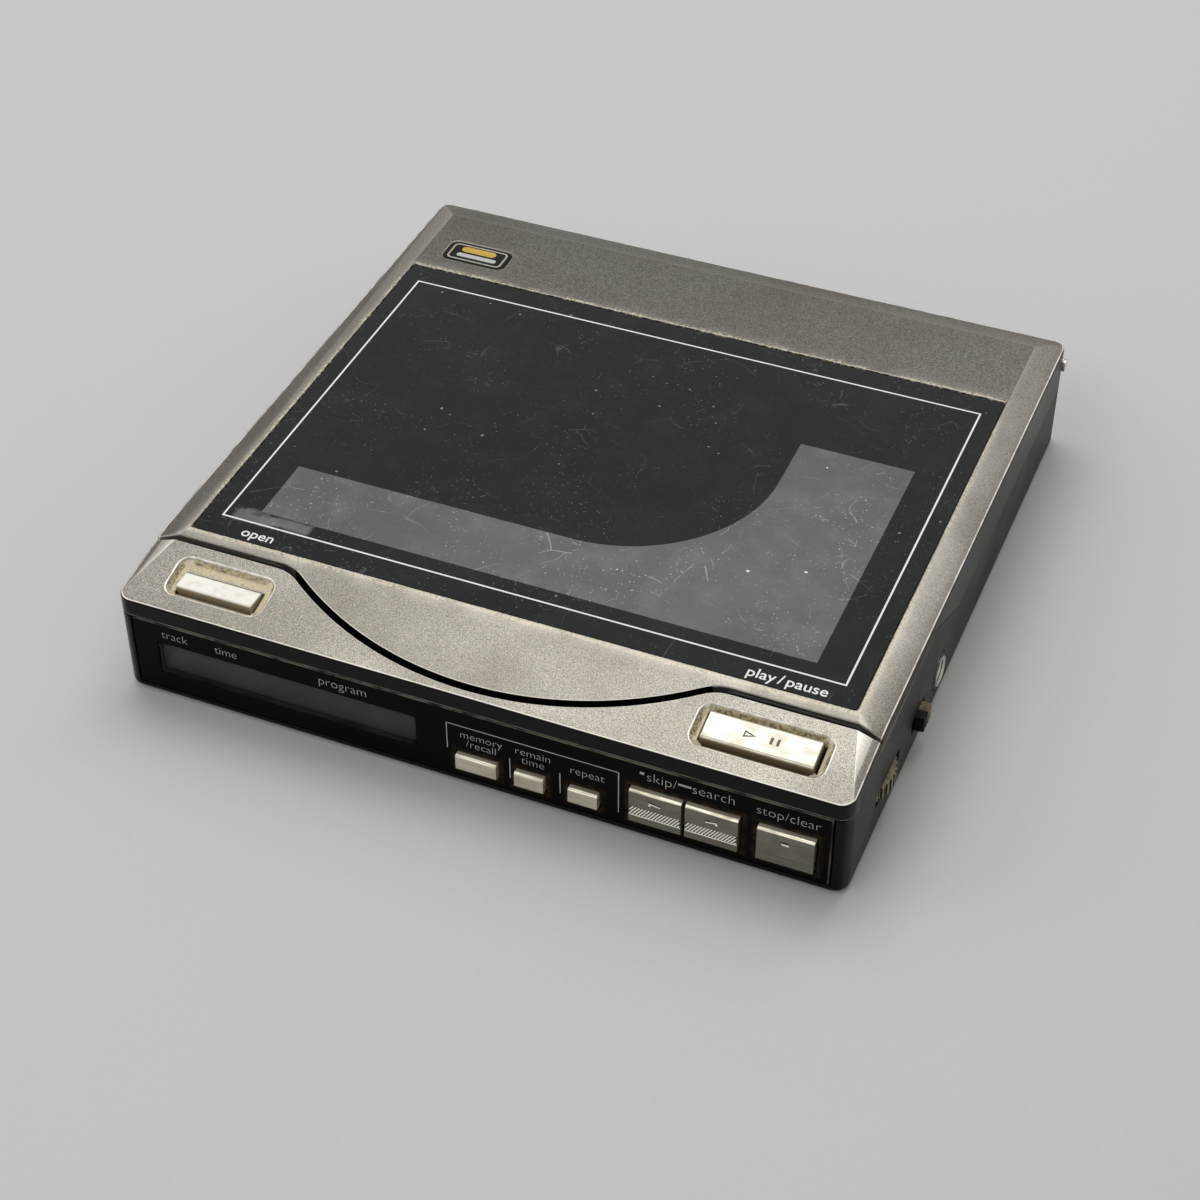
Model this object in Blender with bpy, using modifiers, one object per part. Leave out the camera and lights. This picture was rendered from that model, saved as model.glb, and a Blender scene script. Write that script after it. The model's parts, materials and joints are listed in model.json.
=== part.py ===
"""Portable compact disc player, modelled as the separate pieces that it comes apart into.

Metres, Z up. The origin is on the table under the middle of the case, and the front looks along -Y.
Sizes stack up from the table and out from the disc, so each piece follows what it is carried by.
"""
import math

import bmesh
import bpy
from mathutils import Matrix, Vector

PRODUCT = "portable_disc_player"

# Fits
FIT_GAP = 0.0003
CUT_OVERRUN = 0.0015
SINK = 0.0004

# Disc that the player takes
DISC_RADIUS = 0.0600
DISC_THICKNESS = 0.0012
WELL_CLEARANCE = 0.0012

# Stack of levels from the table up
FOOT_HEIGHT = 0.0005
FLOOR_THICKNESS = 0.0011
DAMPER_HEIGHT = 0.0030
CHASSIS_THICKNESS = 0.0010
MECHANISM_HEIGHT = 0.0058
DECK_THICKNESS = 0.0012
DISC_LIFT = 0.0012
RIM_GUARD = 0.0013
LID_HEADROOM = 0.0027
INNER_PLATE_THICKNESS = 0.0008
LID_THICKNESS = 0.0024

FLOOR_TOP = FOOT_HEIGHT + FLOOR_THICKNESS
CHASSIS_BOTTOM = FLOOR_TOP + FIT_GAP + DAMPER_HEIGHT + FIT_GAP
CHASSIS_TOP = CHASSIS_BOTTOM + CHASSIS_THICKNESS
DECK_BOTTOM = CHASSIS_TOP + MECHANISM_HEIGHT
DECK_FLOOR = DECK_BOTTOM + DECK_THICKNESS
DISC_SEAT = DECK_FLOOR + DISC_LIFT
DISC_TOP = DISC_SEAT + DISC_THICKNESS
RIM_TOP = DISC_TOP + RIM_GUARD
INNER_PLATE_BOTTOM = RIM_TOP + LID_HEADROOM
INNER_PLATE_TOP = INNER_PLATE_BOTTOM + INNER_PLATE_THICKNESS
LID_UNDERSIDE = INNER_PLATE_TOP + FIT_GAP
BODY_HEIGHT = LID_UNDERSIDE + LID_THICKNESS

# Walls and the footprint that they give around the disc
WALL = 0.0017
PANEL_THICKNESS = 0.0015
FRONT_RIM_WALL = 0.0006
SIDE_CLEARANCE = 0.0013
REAR_CLEARANCE = 0.0007
CORNER_RADIUS = 0.0025
CORNER_SEGMENTS = 5
BOTTOM_EDGE_RADIUS = 0.0006
DECK_CORNER_RADIUS = 0.0016

FRONT_MARGIN = WELL_CLEARANCE + FRONT_RIM_WALL + FIT_GAP + PANEL_THICKNESS
HALF_WIDTH = DISC_RADIUS + SIDE_CLEARANCE + WALL
HALF_DEPTH = (2 * DISC_RADIUS + REAR_CLEARANCE + WALL + FRONT_MARGIN) / 2
INNER_HALF_WIDTH = HALF_WIDTH - WALL
INNER_REAR = HALF_DEPTH - WALL
FRONT_FACE = -HALF_DEPTH
PANEL_BACK = FRONT_FACE + PANEL_THICKNESS
DISC_Y = INNER_REAR - REAR_CLEARANCE - DISC_RADIUS

# Top form: flat top, chamfers at the sides and back, and a slope down to the front edge
SIDE_CHAMFER_WIDTH = 0.0048
BACK_CHAMFER_WIDTH = 0.0058
EDGE_DROP = 0.0017
FRONT_SLOPE_DEPTH = 0.0170
FRONT_DROP = 0.00375
FRONT_CORNER_DROP = 0.0021
BEVEL_FINE = 0.0003

FOLD_Y = FRONT_FACE + FRONT_SLOPE_DEPTH
FLAT_HALF_WIDTH = HALF_WIDTH - SIDE_CHAMFER_WIDTH
SLOPE_RISE = FRONT_DROP / FRONT_SLOPE_DEPTH
SLOPE_ANGLE = math.atan(SLOPE_RISE)
CORNER_RISE = FRONT_CORNER_DROP / FRONT_SLOPE_DEPTH
EDGE_Z = BODY_HEIGHT - EDGE_DROP

# Seams between the case, the front cover and the lid
SKIRT_STEP = 0.0002
SKIRT_RAMP_BACK = 0.0580
SKIRT_RAMP_FRONT = 0.0410
LEDGE_DROP = 0.0009
BAND_LAP = 0.0006
BAND_RETURN = 0.0040
PARTING_SETBACK = 0.0143
PARTING_GAP = 0.0007
TONGUE_CLEARANCE = 0.0003
TONGUE_SHIFT = -0.0008
PARTING_FILLET = 0.0080
COVER_THICKNESS = 0.0020
FILLET_STEPS = 6
TONGUE_STEPS = 32

SKIRT_Z = DECK_BOTTOM + SKIRT_STEP
BAND_BOTTOM = RIM_TOP - BAND_LAP
BAND_BACK_Y = FRONT_FACE + BAND_RETURN
LEDGE_Z = EDGE_Z - LEDGE_DROP
PARTING_Y = FRONT_FACE + PARTING_SETBACK
TONGUE_RADIUS = DISC_RADIUS + WELL_CLEARANCE + TONGUE_CLEARANCE

# Hinge
BARREL_RADIUS = 0.00165
HINGE_CLEARANCE = 0.0005
EAR_WIDTH = 0.0040
PIN_RADIUS = 0.0008
PIN_HEAD_RADIUS = 0.0012
PIN_HEAD_HEIGHT = 0.0005
PIN_HEAD_GAP = 0.0001

HINGE_Y = INNER_REAR
HINGE_Z = DISC_TOP + HINGE_CLEARANCE + BARREL_RADIUS
REAR_WALL_TOP = HINGE_Z - BARREL_RADIUS - FIT_GAP
EAR_OUTER_X = INNER_HALF_WIDTH - FIT_GAP
EAR_INNER_X = EAR_OUTER_X - EAR_WIDTH
EAR_ROOT = 0.0010

# Lid window and what sits in the lid
WINDOW_THICKNESS = 0.0010
WINDOW_SINK = 0.0002
WINDOW_SIDE_RIM = 0.00045
WINDOW_REAR_MARGIN = 0.0243
WINDOW_LEDGE = 0.0035
WINDOW_CORNER_RADIUS = 0.0006
INSET_GAP = 0.0002
BADGE_SINK = 0.00005
INNER_PLATE_LAP = 0.0013
INNER_PLATE_SETBACK = 0.0020
WINDOW_RIM_INNER = 0.00025
BADGE_WIDTH = 0.0124
BADGE_DEPTH = 0.0060
BADGE_RADIUS = 0.0014
BADGE_THICKNESS = 0.0007
BADGE_FROM_LEFT = 0.0151
BADGE_FROM_REAR = 0.0170
VIEW_LEFT_MARGIN = 0.0133
VIEW_RIGHT_MARGIN = 0.0146
VIEW_FRONT_MARGIN = 0.0258
VIEW_CLAMP_REACH_X = 0.0272
VIEW_CLAMP_REACH_Y = 0.0250
VIEW_DEPTH = 0.0528
VIEW_EASE = 0.0005
VIEW_ARC_STEPS = 10

WINDOW_HALF_WIDTH = FLAT_HALF_WIDTH - WINDOW_SIDE_RIM
WINDOW_FRONT = FOLD_Y
WINDOW_REAR = HALF_DEPTH - WINDOW_REAR_MARGIN
WINDOW_TOP = BODY_HEIGHT - WINDOW_SINK
WINDOW_BOTTOM = WINDOW_TOP - WINDOW_THICKNESS

# Clamp in the lid and the turntable under it
CLAMP_RADIUS = 0.0120
CLAMP_FLANGE_RADIUS = 0.0145
CLAMP_FLANGE_THICKNESS = 0.0006
CLAMP_RECESS_RADIUS = 0.0086
CLAMP_HOLE_CLEARANCE = 0.0005
CLAMP_RECESS_DEPTH = 0.0015
TURNTABLE_RADIUS = 0.0150
TURNTABLE_THICKNESS = 0.0010
HUB_RADIUS = 0.0074
HUB_HEIGHT = 0.0021
HUB_TIP_RADIUS = 0.0055
HUB_TAPER = 0.0007
TURNTABLE_HOLE_CLEARANCE = 0.0008
SPINDLE_RADIUS = 0.0010
SPINDLE_LENGTH = 0.0050
ROUND_SEGMENTS = 44
SMALL_SEGMENTS = 20
WELL_SEGMENTS = 88

# Spindle motor and chassis
MOTOR_RADIUS = 0.0120
MOTOR_CAP_RADIUS = 0.0040
MOTOR_CAP_HEIGHT = 0.0006
MOTOR_TOP_GAP = 0.0004
CHASSIS_JACK_GAP = 0.0044
CHASSIS_EDGE_GAP = 0.0020
DAMPER_RADIUS = 0.0030
DAMPER_INSET = 0.0070
DAMPER_WAIST = 0.0008

# Pickup sled, which travels outward at an angle to the rear left corner
TRAVEL_ANGLE = math.radians(135)
LENS_REST_RADIUS = 0.0240
TRACK_MARGIN = 0.0030
SLED_INNER_REACH = 0.0095
SLED_OUTER_REACH = 0.0080
SLED_HALF_WIDTH = 0.0170
SLED_LIFT = 0.0018
SLED_HEIGHT = 0.0034
TOWER_INNER_REACH = 0.0065
TOWER_OUTER_REACH = 0.0050
TOWER_HALF_WIDTH = 0.0065
TOWER_HEIGHT = 0.0014
LENS_RADIUS = 0.0034
LENS_CLEARANCE = 0.0005
LENS_HEIGHT = 0.0016
LENS_FOCUS = 0.0003
LENS_DOME = 0.0003
SLOT_CLEARANCE = 0.0008
ROD_EDGE = 0.0025
ROD_RADIUS = 0.0010
LUG_WIDTH = 0.0034
LUG_LENGTH = 0.0030
LUG_OUTER_LENGTH = 0.0015
LUG_CLEARANCE = 0.0010
ROD_RISE = 0.0035

# Feed gears
RACK_MODULE = 0.0005
PINION_TEETH = 14
WHEEL_MODULE = 0.0004
WHEEL_TEETH = 26
MOTOR_TEETH = 10
RACK_BACKING = 0.0015
RACK_THICKNESS = 0.0020
RACK_RUN_ON = 0.0025
RACK_SETBACK = 0.0002
GEAR_FACE = 0.0010
GEAR_PLAY = 0.00012
GEAR_LIFT = 0.0004
GEAR_BORE_RADIUS = 0.0009
GEAR_POST_RADIUS = 0.0006
GEAR_POST_REACH = 0.0004
FEED_SHAFT_RADIUS = 0.0005
FEED_MOTOR_RADIUS = 0.0050
FEED_MOTOR_HEIGHT = 0.0042
TOOTH_HEIGHT_SHARE = 1.8
TOOTH_ROOT_SHARE = 0.56
TOOTH_TIP_SHARE = 0.24

# Boards
BOARD_STANDOFF = 0.0014
BOARD_THICKNESS = 0.0010
BOARD_SIDE_MARGIN = 0.0090
BOARD_FRONT_GAP = 0.0008
BOARD_REAR_GAP = 0.0050
BOARD_SETBACK = 0.0110
BOARD_ARM_GAP = 0.0040
BOARD_ARM_WIDTH = 0.0210
BOARD_JACK_GAP = 0.0050
STANDOFF_RADIUS = 0.0020

# Front panel, display and keys
POST_WIDTH = 0.0024
DISPLAY_MARGIN = 0.0042
DISPLAY_BASE = 0.0036
DISPLAY_HEIGHT = 0.0067
DISPLAY_GAP_AROUND = 0.0002
DISPLAY_WINDOW_THICKNESS = 0.0009
DISPLAY_WINDOW_SINK = 0.0001
DISPLAY_BOARD_SIDE_GAP = 0.0033
DISPLAY_FRAME = 0.0010
LCD_THICKNESS = 0.0018
DISPLAY_BOARD_THICKNESS = 0.0010
KEY_BASE = 0.0023
KEY_PROUD = 0.0009
KEY_CLEARANCE = 0.00025
KEY_LIP = 0.0006
KEY_LIP_THICKNESS = 0.0008
KEY_EDGE = 0.00035
SMALL_KEY_HEIGHT = 0.0031
MEMORY_KEY_WIDTH = 0.0071
REMAIN_KEY_WIDTH = 0.0050
REPEAT_KEY_WIDTH = 0.0050
SKIP_KEY_WIDTH = 0.0087
STOP_KEY_WIDTH = 0.0093
STOP_MARGIN = 0.0024
STOP_GAP = 0.0030
SKIP_GAP = 0.0006
SKIP_REPEAT_GAP = 0.0053
REPEAT_REMAIN_GAP = 0.0042
REMAIN_MEMORY_GAP = 0.0031
DISPLAY_GAP = 0.0072

# Keys on the front cover, sizes measured along its slope
PAN_DEPTH = 0.0011
PAN_TAPER = 0.0007
PAN_RADIUS = 0.0018
OPEN_PAN_WIDTH = 0.0172
OPEN_PAN_DEPTH = 0.0072
OPEN_PAN_FROM_LEFT = 0.0156
PLAY_PAN_WIDTH = 0.0214
PLAY_PAN_DEPTH = 0.0073
PLAY_PAN_FROM_RIGHT = 0.0170
PAN_FROM_FRONT = 0.0073
OPEN_KEY_WIDTH = 0.0139
OPEN_KEY_DEPTH = 0.0038
OPEN_KEY_FORWARD = 0.0006
OPEN_KEY_BACK_DROP = 0.0008
PLAY_KEY_WIDTH = 0.0184
PLAY_KEY_DEPTH = 0.0053
TOP_KEY_RISE = 0.0003
TOP_KEY_CLEARANCE = 0.0003
TOP_KEY_LIP = 0.0006
TOP_KEY_LIP_THICKNESS = 0.0007
TOP_KEY_EDGE = 0.0003

# Lid catch and latch
HOOK_WIDTH = 0.0070
HOOK_THICKNESS = 0.0012
HOOK_NOSE = 0.0010
HOOK_NOSE_HEIGHT = 0.0009
HOOK_TIP_RISE = 0.0008
HOOK_FROM_LEFT = 0.0105
HOOK_SETBACK = 0.0022
POCKET_FLOOR_RISE = 0.0013
LATCH_THICKNESS = 0.0010
LATCH_LENGTH = 0.0090
LATCH_WIDTH = 0.0100
POCKET_SETBACK = 0.0030
POCKET_REACH = 0.0120
LATCH_POCKET_REACH = 0.0162
POCKET_MARGIN = 0.0050
PLAY_POCKET_WIDTH = 0.0225
LATCH_POCKET_WIDTH = 0.0190
HOOK_WELL_RISE = 0.0003
HOOK_WELL_BACK = 0.0205
HOOK_WELL_MARGIN = 0.0010

# Side controls on the right wall
VOLUME_RADIUS = 0.0080
VOLUME_PROUD = 0.0011
VOLUME_THICKNESS = 0.0024
VOLUME_FROM_FRONT = 0.0205
VOLUME_RISE = 0.0042
VOLUME_RIDGES = 40
VOLUME_RIDGE_DEPTH = 0.00025
VOLUME_AXLE_RADIUS = 0.0015
VOLUME_AXLE_REACH = 0.0004
VOLUME_SLOT_HALF = 0.0065
POT_RADIUS = 0.0040
SWITCH_FROM_FRONT = 0.0370
SWITCH_RISE = 0.0044
SWITCH_KNOB_LENGTH = 0.0042
SWITCH_KNOB_HEIGHT = 0.0030
SWITCH_PROUD = 0.0016
SWITCH_TRAVEL = 0.0025
SWITCH_RIDGES = 4
SWITCH_RIDGE_DEPTH = 0.0003
SWITCH_BODY_DEPTH = 0.0050
SWITCH_BODY_LENGTH = 0.0130
SWITCH_FLANGE = 0.0008
SWITCH_FLANGE_LIP = 0.0008
JACK_FROM_FRONT = 0.0490
JACK_RISE = 0.0040
JACK_RING_RADIUS = 0.0033
JACK_RING_PROUD = 0.0003
JACK_BARREL_RADIUS = 0.0026
JACK_BORE_RADIUS = 0.0018
JACK_BODY_LENGTH = 0.0125
JACK_BODY_HALF = 0.0035
JACK_BORE_DEPTH = 0.0110

# Rear sockets
LINE_JACK_FROM_RIGHT = 0.0330
POWER_JACK_FROM_RIGHT = 0.0180
REAR_JACK_RISE = 0.0044
REAR_NOSE_RADIUS = 0.0030
POWER_BORE_RADIUS = 0.0024
POWER_PIN_RADIUS = 0.0007
POWER_PIN_SETBACK = 0.0006
REAR_JACK_DEPTH = 0.0110
REAR_JACK_HALF = 0.0036
REAR_BORE_DEPTH = 0.0090

# Underside
FOOT_RADIUS = 0.0040
FOOT_INSET = 0.0130
FOOT_RECESS = 0.0006
FOOT_SEAT = 0.0003
PILLAR_RADIUS = 0.0026
PILLAR_INSET = 0.0055
PILLAR_FRONT_INSET = 0.0085
PILLAR_CLEARANCE = 0.0010
SCREW_HEAD_RADIUS = 0.0018
SCREW_HEAD_HEIGHT = 0.0009
SCREW_RADIUS = 0.0009
SCREW_LENGTH = 0.0070
SCREW_SETBACK = 0.0003
SCREW_SLOT_WIDTH = 0.0005
SCREW_SLOT_DEPTH = 0.0004


def linear(channel):
    """One sRGB channel as the linear value that a shader takes."""
    low_slope, offset, power, knee = 12.92, 0.055, 2.4, 0.04045
    if channel <= knee:
        return channel / low_slope
    return ((channel + offset) / (1 + offset)) ** power


def finish(name, red, green, blue, roughness, metallic=0.0):
    """A plain material from an sRGB colour in 0 to 255, a roughness and a metallic value."""
    byte = 255
    made = bpy.data.materials.new(name)
    made.use_nodes = True
    shader = made.node_tree.nodes["Principled BSDF"]
    colour = [linear(value / byte) for value in (red, green, blue)]
    shader.inputs["Base Color"].default_value = (*colour, 1.0)
    shader.inputs["Roughness"].default_value = roughness
    shader.inputs["Metallic"].default_value = metallic
    made.diffuse_color = (*colour, 1.0)
    return made


class Workshop:
    """Keeps the two collections and puts finished meshes into them."""

    def __init__(self):
        for old in list(bpy.data.objects):
            bpy.data.objects.remove(old, do_unlink=True)
        self.parts = self.collection(PRODUCT)
        self.tools = self.collection("cutters")

    @staticmethod
    def collection(name):
        """A new collection linked into the scene."""
        made = bpy.data.collections.new(name)
        bpy.context.scene.collection.children.link(made)
        return made

    def keep(self, mesh_object, material=None):
        """Link an object as a part when it has a material, or else as a cutter."""
        if material is None:
            self.tools.objects.link(mesh_object)
            mesh_object.hide_render = True
            mesh_object.display_type = "WIRE"
        else:
            self.parts.objects.link(mesh_object)
            mesh_object.data.materials.append(material)
        return mesh_object

    def from_bmesh(self, name, shape, material=None):
        """Turn a bmesh into a linked object."""
        mesh = bpy.data.meshes.new(name)
        bmesh.ops.recalc_face_normals(shape, faces=shape.faces)
        shape.to_mesh(mesh)
        shape.free()
        return self.keep(bpy.data.objects.new(name, mesh), material)

    def box(self, name, low, high, material=None, frame=None):
        """A box between two corners, in the given frame."""
        shape = bmesh.new()
        low, high = Vector(low), Vector(high)
        bmesh.ops.create_cube(shape, size=1.0)
        bmesh.ops.scale(shape, vec=high - low, verts=shape.verts)
        bmesh.ops.translate(shape, vec=(low + high) / 2, verts=shape.verts)
        if frame is not None:
            bmesh.ops.transform(shape, matrix=frame, verts=shape.verts)
        return self.from_bmesh(name, shape, material)

    def pad(self, name, low, high, radius, taper=0.0, material=None, frame=None):
        """A box with round upright corners whose lower face is drawn in by the taper."""
        shape = bmesh.new()
        low, high = Vector(low), Vector(high)
        bmesh.ops.create_cube(shape, size=1.0)
        bmesh.ops.scale(shape, vec=high - low, verts=shape.verts)
        upright = [edge for edge in shape.edges
                   if abs(edge.verts[0].co.z - edge.verts[1].co.z) > abs(high.z - low.z) / 2]
        bmesh.ops.bevel(shape, geom=upright, offset=radius, segments=CORNER_SEGMENTS,
                        profile=0.5, affect="EDGES")
        size = high - low
        shrink = Vector((1 - 2 * taper / size.x, 1 - 2 * taper / size.y, 1))
        lower = [vert for vert in shape.verts if vert.co.z < 0]
        bmesh.ops.scale(shape, vec=shrink, verts=lower)
        bmesh.ops.translate(shape, vec=(low + high) / 2, verts=shape.verts)
        if frame is not None:
            bmesh.ops.transform(shape, matrix=frame, verts=shape.verts)
        return self.from_bmesh(name, shape, material)

    def rod(self, name, start, end, radius, material=None, segments=SMALL_SEGMENTS):
        """A cylinder from one point to another."""
        shape = bmesh.new()
        start, end = Vector(start), Vector(end)
        along = end - start
        turn = Vector((0, 0, 1)).rotation_difference(along.normalized()).to_matrix().to_4x4()
        bmesh.ops.create_cone(shape, cap_ends=True, segments=segments, radius1=radius,
                              radius2=radius, depth=along.length,
                              matrix=Matrix.Translation((start + end) / 2) @ turn)
        return self.from_bmesh(name, shape, material)

    def turned(self, name, profile, centre, material=None, segments=ROUND_SEGMENTS, closed=False):
        """A lathe form about Z: the profile is (radius, height) points down the outer side."""
        mesh = bpy.data.meshes.new(name)
        points = [(radius, 0, height) for radius, height in profile]
        edges = [(index, index + 1) for index in range(len(points) - 1)]
        if closed:
            edges.append((len(points) - 1, 0))
        mesh.from_pydata(points, edges, [])
        made = self.keep(bpy.data.objects.new(name, mesh), material)
        made.location = centre
        screw = made.modifiers.new("lathe", "SCREW")
        screw.steps = segments
        screw.render_steps = segments
        screw.use_merge_vertices = True
        screw.merge_threshold = 0.00001
        screw.use_smooth_shade = True
        return made

    def outline(self, name, points, low, high, material=None, frame=None):
        """A flat closed outline given a thickness from low to high along its normal."""
        curve = bpy.data.curves.new(name, "CURVE")
        curve.dimensions = "2D"
        curve.fill_mode = "BOTH"
        curve.extrude = (high - low) / 2
        spline = curve.splines.new("POLY")
        spline.points.add(len(points) - 1)
        for knot, point in zip(spline.points, points):
            knot.co = (point[0], point[1], 0.0, 1.0)
        spline.use_cyclic_u = True
        drawn = bpy.data.objects.new(name, curve)
        self.tools.objects.link(drawn)
        drawn.location.z = (low + high) / 2
        bpy.context.view_layer.update()
        evaluated = drawn.evaluated_get(bpy.context.evaluated_depsgraph_get())
        mesh = bpy.data.meshes.new_from_object(evaluated)
        shape = bmesh.new()
        shape.from_mesh(mesh)
        bmesh.ops.transform(shape, matrix=drawn.matrix_world, verts=shape.verts)
        bmesh.ops.remove_doubles(shape, verts=shape.verts, dist=0.000001)
        bpy.data.objects.remove(drawn, do_unlink=True)
        bpy.data.meshes.remove(mesh)
        if frame is not None:
            bmesh.ops.transform(shape, matrix=frame, verts=shape.verts)
        return self.from_bmesh(name, shape, material)


def carve(target, *tools):
    """Take each tool's volume out of the target."""
    for tool in tools:
        cut = target.modifiers.new("cut " + tool.name, "BOOLEAN")
        cut.operation = "DIFFERENCE"
        cut.object = tool
    return target


def fuse(target, *tools):
    """Join each tool's volume to the target."""
    for tool in tools:
        join = target.modifiers.new("join " + tool.name, "BOOLEAN")
        join.operation = "UNION"
        join.object = tool
    return target


def soften(target, width, segments=2):
    """Round the sharp edges of a target."""
    bevel = target.modifiers.new("rounded edges", "BEVEL")
    bevel.width = width
    bevel.segments = segments
    bevel.limit_method = "ANGLE"
    return target


def arc(centre, radius, start, end, steps):
    """Points along a circle between two angles, both ends included."""
    turns = [start + (end - start) * step / steps for step in range(steps + 1)]
    return [(centre[0] + radius * math.cos(turn), centre[1] + radius * math.sin(turn))
            for turn in turns]


def side_frame():
    """Turns an outline drawn in (Y, Z) so that its thickness runs along X."""
    return Matrix(((0, 0, 1, 0), (1, 0, 0, 0), (0, 1, 0, 0), (0, 0, 0, 1)))


def slope_frame(x, from_front):
    """A frame on the front slope: its Z is the slope's normal, its origin lies on the surface."""
    y = FRONT_FACE + from_front
    z = BODY_HEIGHT - SLOPE_RISE * (FOLD_Y - y)
    return Matrix.Translation((x, y, z)) @ Matrix.Rotation(SLOPE_ANGLE, 4, "X")


def place(low_x, high_x, low_y, high_y, low_z, high_z):
    """Two corners of a box from its limits along X, Y and Z."""
    return (low_x, low_y, low_z), (high_x, high_y, high_z)


def pivot(made, point):
    """Move an object's origin to a point without moving what it shows."""
    point = Vector(point)
    made.data.transform(Matrix.Translation(-point))
    made.location = point
    return made


def travel_frame():
    """The pickup's frame: X runs outward along its travel, and its origin is the disc's centre."""
    return Matrix.Translation((0, DISC_Y, 0)) @ Matrix.Rotation(TRAVEL_ANGLE, 4, "Z")


def form(shop, name, inset, drop, base, material=None, bottom_radius=0.0):
    """The player's outer form, with its sides moved in and its top moved down."""
    shape = bmesh.new()
    top = BODY_HEIGHT - drop
    half_x, half_y = HALF_WIDTH - inset, HALF_DEPTH - inset
    bmesh.ops.create_cube(shape, size=1.0)
    bmesh.ops.scale(shape, vec=(2 * half_x, 2 * half_y, top - base), verts=shape.verts)
    bmesh.ops.translate(shape, vec=(0, 0, (top + base) / 2), verts=shape.verts)
    upright = [edge for edge in shape.edges
               if abs(edge.verts[0].co.z - edge.verts[1].co.z) > (top - base) / 2]
    radius = max(CORNER_RADIUS - inset, FIT_GAP)
    bmesh.ops.bevel(shape, geom=upright, offset=radius, segments=CORNER_SEGMENTS,
                    profile=0.5, affect="EDGES")
    side_rise = EDGE_DROP / SIDE_CHAMFER_WIDTH
    back_rise = EDGE_DROP / BACK_CHAMFER_WIDTH
    planes = [((0, HALF_DEPTH - BACK_CHAMFER_WIDTH, top), (0, back_rise, 1)),
              ((0, FOLD_Y, top), (0, -SLOPE_RISE, 1))]
    for side in (1, -1):
        bend = (side * FLAT_HALF_WIDTH, FOLD_Y, top)
        planes.append((bend, (side * side_rise, 0, 1)))
        planes.append((bend, (side * side_rise, -CORNER_RISE, 1)))
    for point, normal in planes:
        whole = list(shape.verts) + list(shape.edges) + list(shape.faces)
        bmesh.ops.bisect_plane(shape, geom=whole, plane_co=point, plane_no=normal,
                               clear_outer=True)
        bmesh.ops.holes_fill(shape, edges=[edge for edge in shape.edges if edge.is_boundary])
    if bottom_radius:
        low = [edge for edge in shape.edges
               if max(vert.co.z for vert in edge.verts) < base + bottom_radius]
        bmesh.ops.bevel(shape, geom=low, offset=bottom_radius, segments=2, profile=0.5,
                        affect="EDGES")
    return shop.from_bmesh(name, shape, material)


def parting_line(offset):
    """The curve between lid and front cover, left to right, moved forward by the offset."""
    line_y = PARTING_Y - offset
    radius = TONGUE_RADIUS + offset
    fillet = PARTING_FILLET - offset
    fillet_y = line_y - fillet
    reach = radius + fillet
    spread = math.sqrt(reach ** 2 - (DISC_Y - fillet_y) ** 2)
    lean = math.atan2(DISC_Y - fillet_y, spread)
    quarter = math.pi / 2
    middle = TONGUE_SHIFT
    left = arc((middle - spread, fillet_y), fillet, quarter, lean, FILLET_STEPS)
    tongue = arc((middle, DISC_Y), radius, math.pi + lean, 2 * math.pi - lean, TONGUE_STEPS)
    right = arc((middle + spread, fillet_y), fillet, math.pi - lean, quarter, FILLET_STEPS)
    wide = HALF_WIDTH + CUT_OVERRUN
    return [(-wide, line_y)] + left + tongue[1:-1] + right + [(wide, line_y)]


def seam_line(offset):
    """The side seam in (Y, Z), back to front, moved up and forward by the offset."""
    ledge_at_band = LEDGE_Z - CORNER_RISE * (FOLD_Y - BAND_BACK_Y)
    band_y = BAND_BACK_Y - offset
    return [(HALF_DEPTH + CUT_OVERRUN, SKIRT_Z + offset),
            (FRONT_FACE + SKIRT_RAMP_BACK, SKIRT_Z + offset),
            (FRONT_FACE + SKIRT_RAMP_FRONT, LEDGE_Z + offset),
            (FOLD_Y, LEDGE_Z + offset),
            (band_y, ledge_at_band + offset),
            (band_y, BAND_BOTTOM - FIT_GAP + offset),
            (FRONT_FACE - CUT_OVERRUN, BAND_BOTTOM - FIT_GAP + offset)]


HIGH = BODY_HEIGHT + CUT_OVERRUN
LOW = -CUT_OVERRUN
WIDE = HALF_WIDTH + CUT_OVERRUN
BACK = HALF_DEPTH + CUT_OVERRUN
FRONT = FRONT_FACE - CUT_OVERRUN
PILLAR_X = HALF_WIDTH - PILLAR_INSET
PILLAR_REAR_Y = HALF_DEPTH - PILLAR_INSET
PILLAR_FRONT_Y = FRONT_FACE + PILLAR_FRONT_INSET
PILLARS = [(side * PILLAR_X, y) for side in (1, -1) for y in (PILLAR_REAR_Y, PILLAR_FRONT_Y)]
FEET = [(side * (HALF_WIDTH - FOOT_INSET), end * (HALF_DEPTH - FOOT_INSET))
        for side in (1, -1) for end in (1, -1)]
SCREW_HEAD_BOTTOM = FOOT_HEIGHT + SCREW_SETBACK
SCREW_HEAD_TOP = SCREW_HEAD_BOTTOM + SCREW_HEAD_HEIGHT

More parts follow.
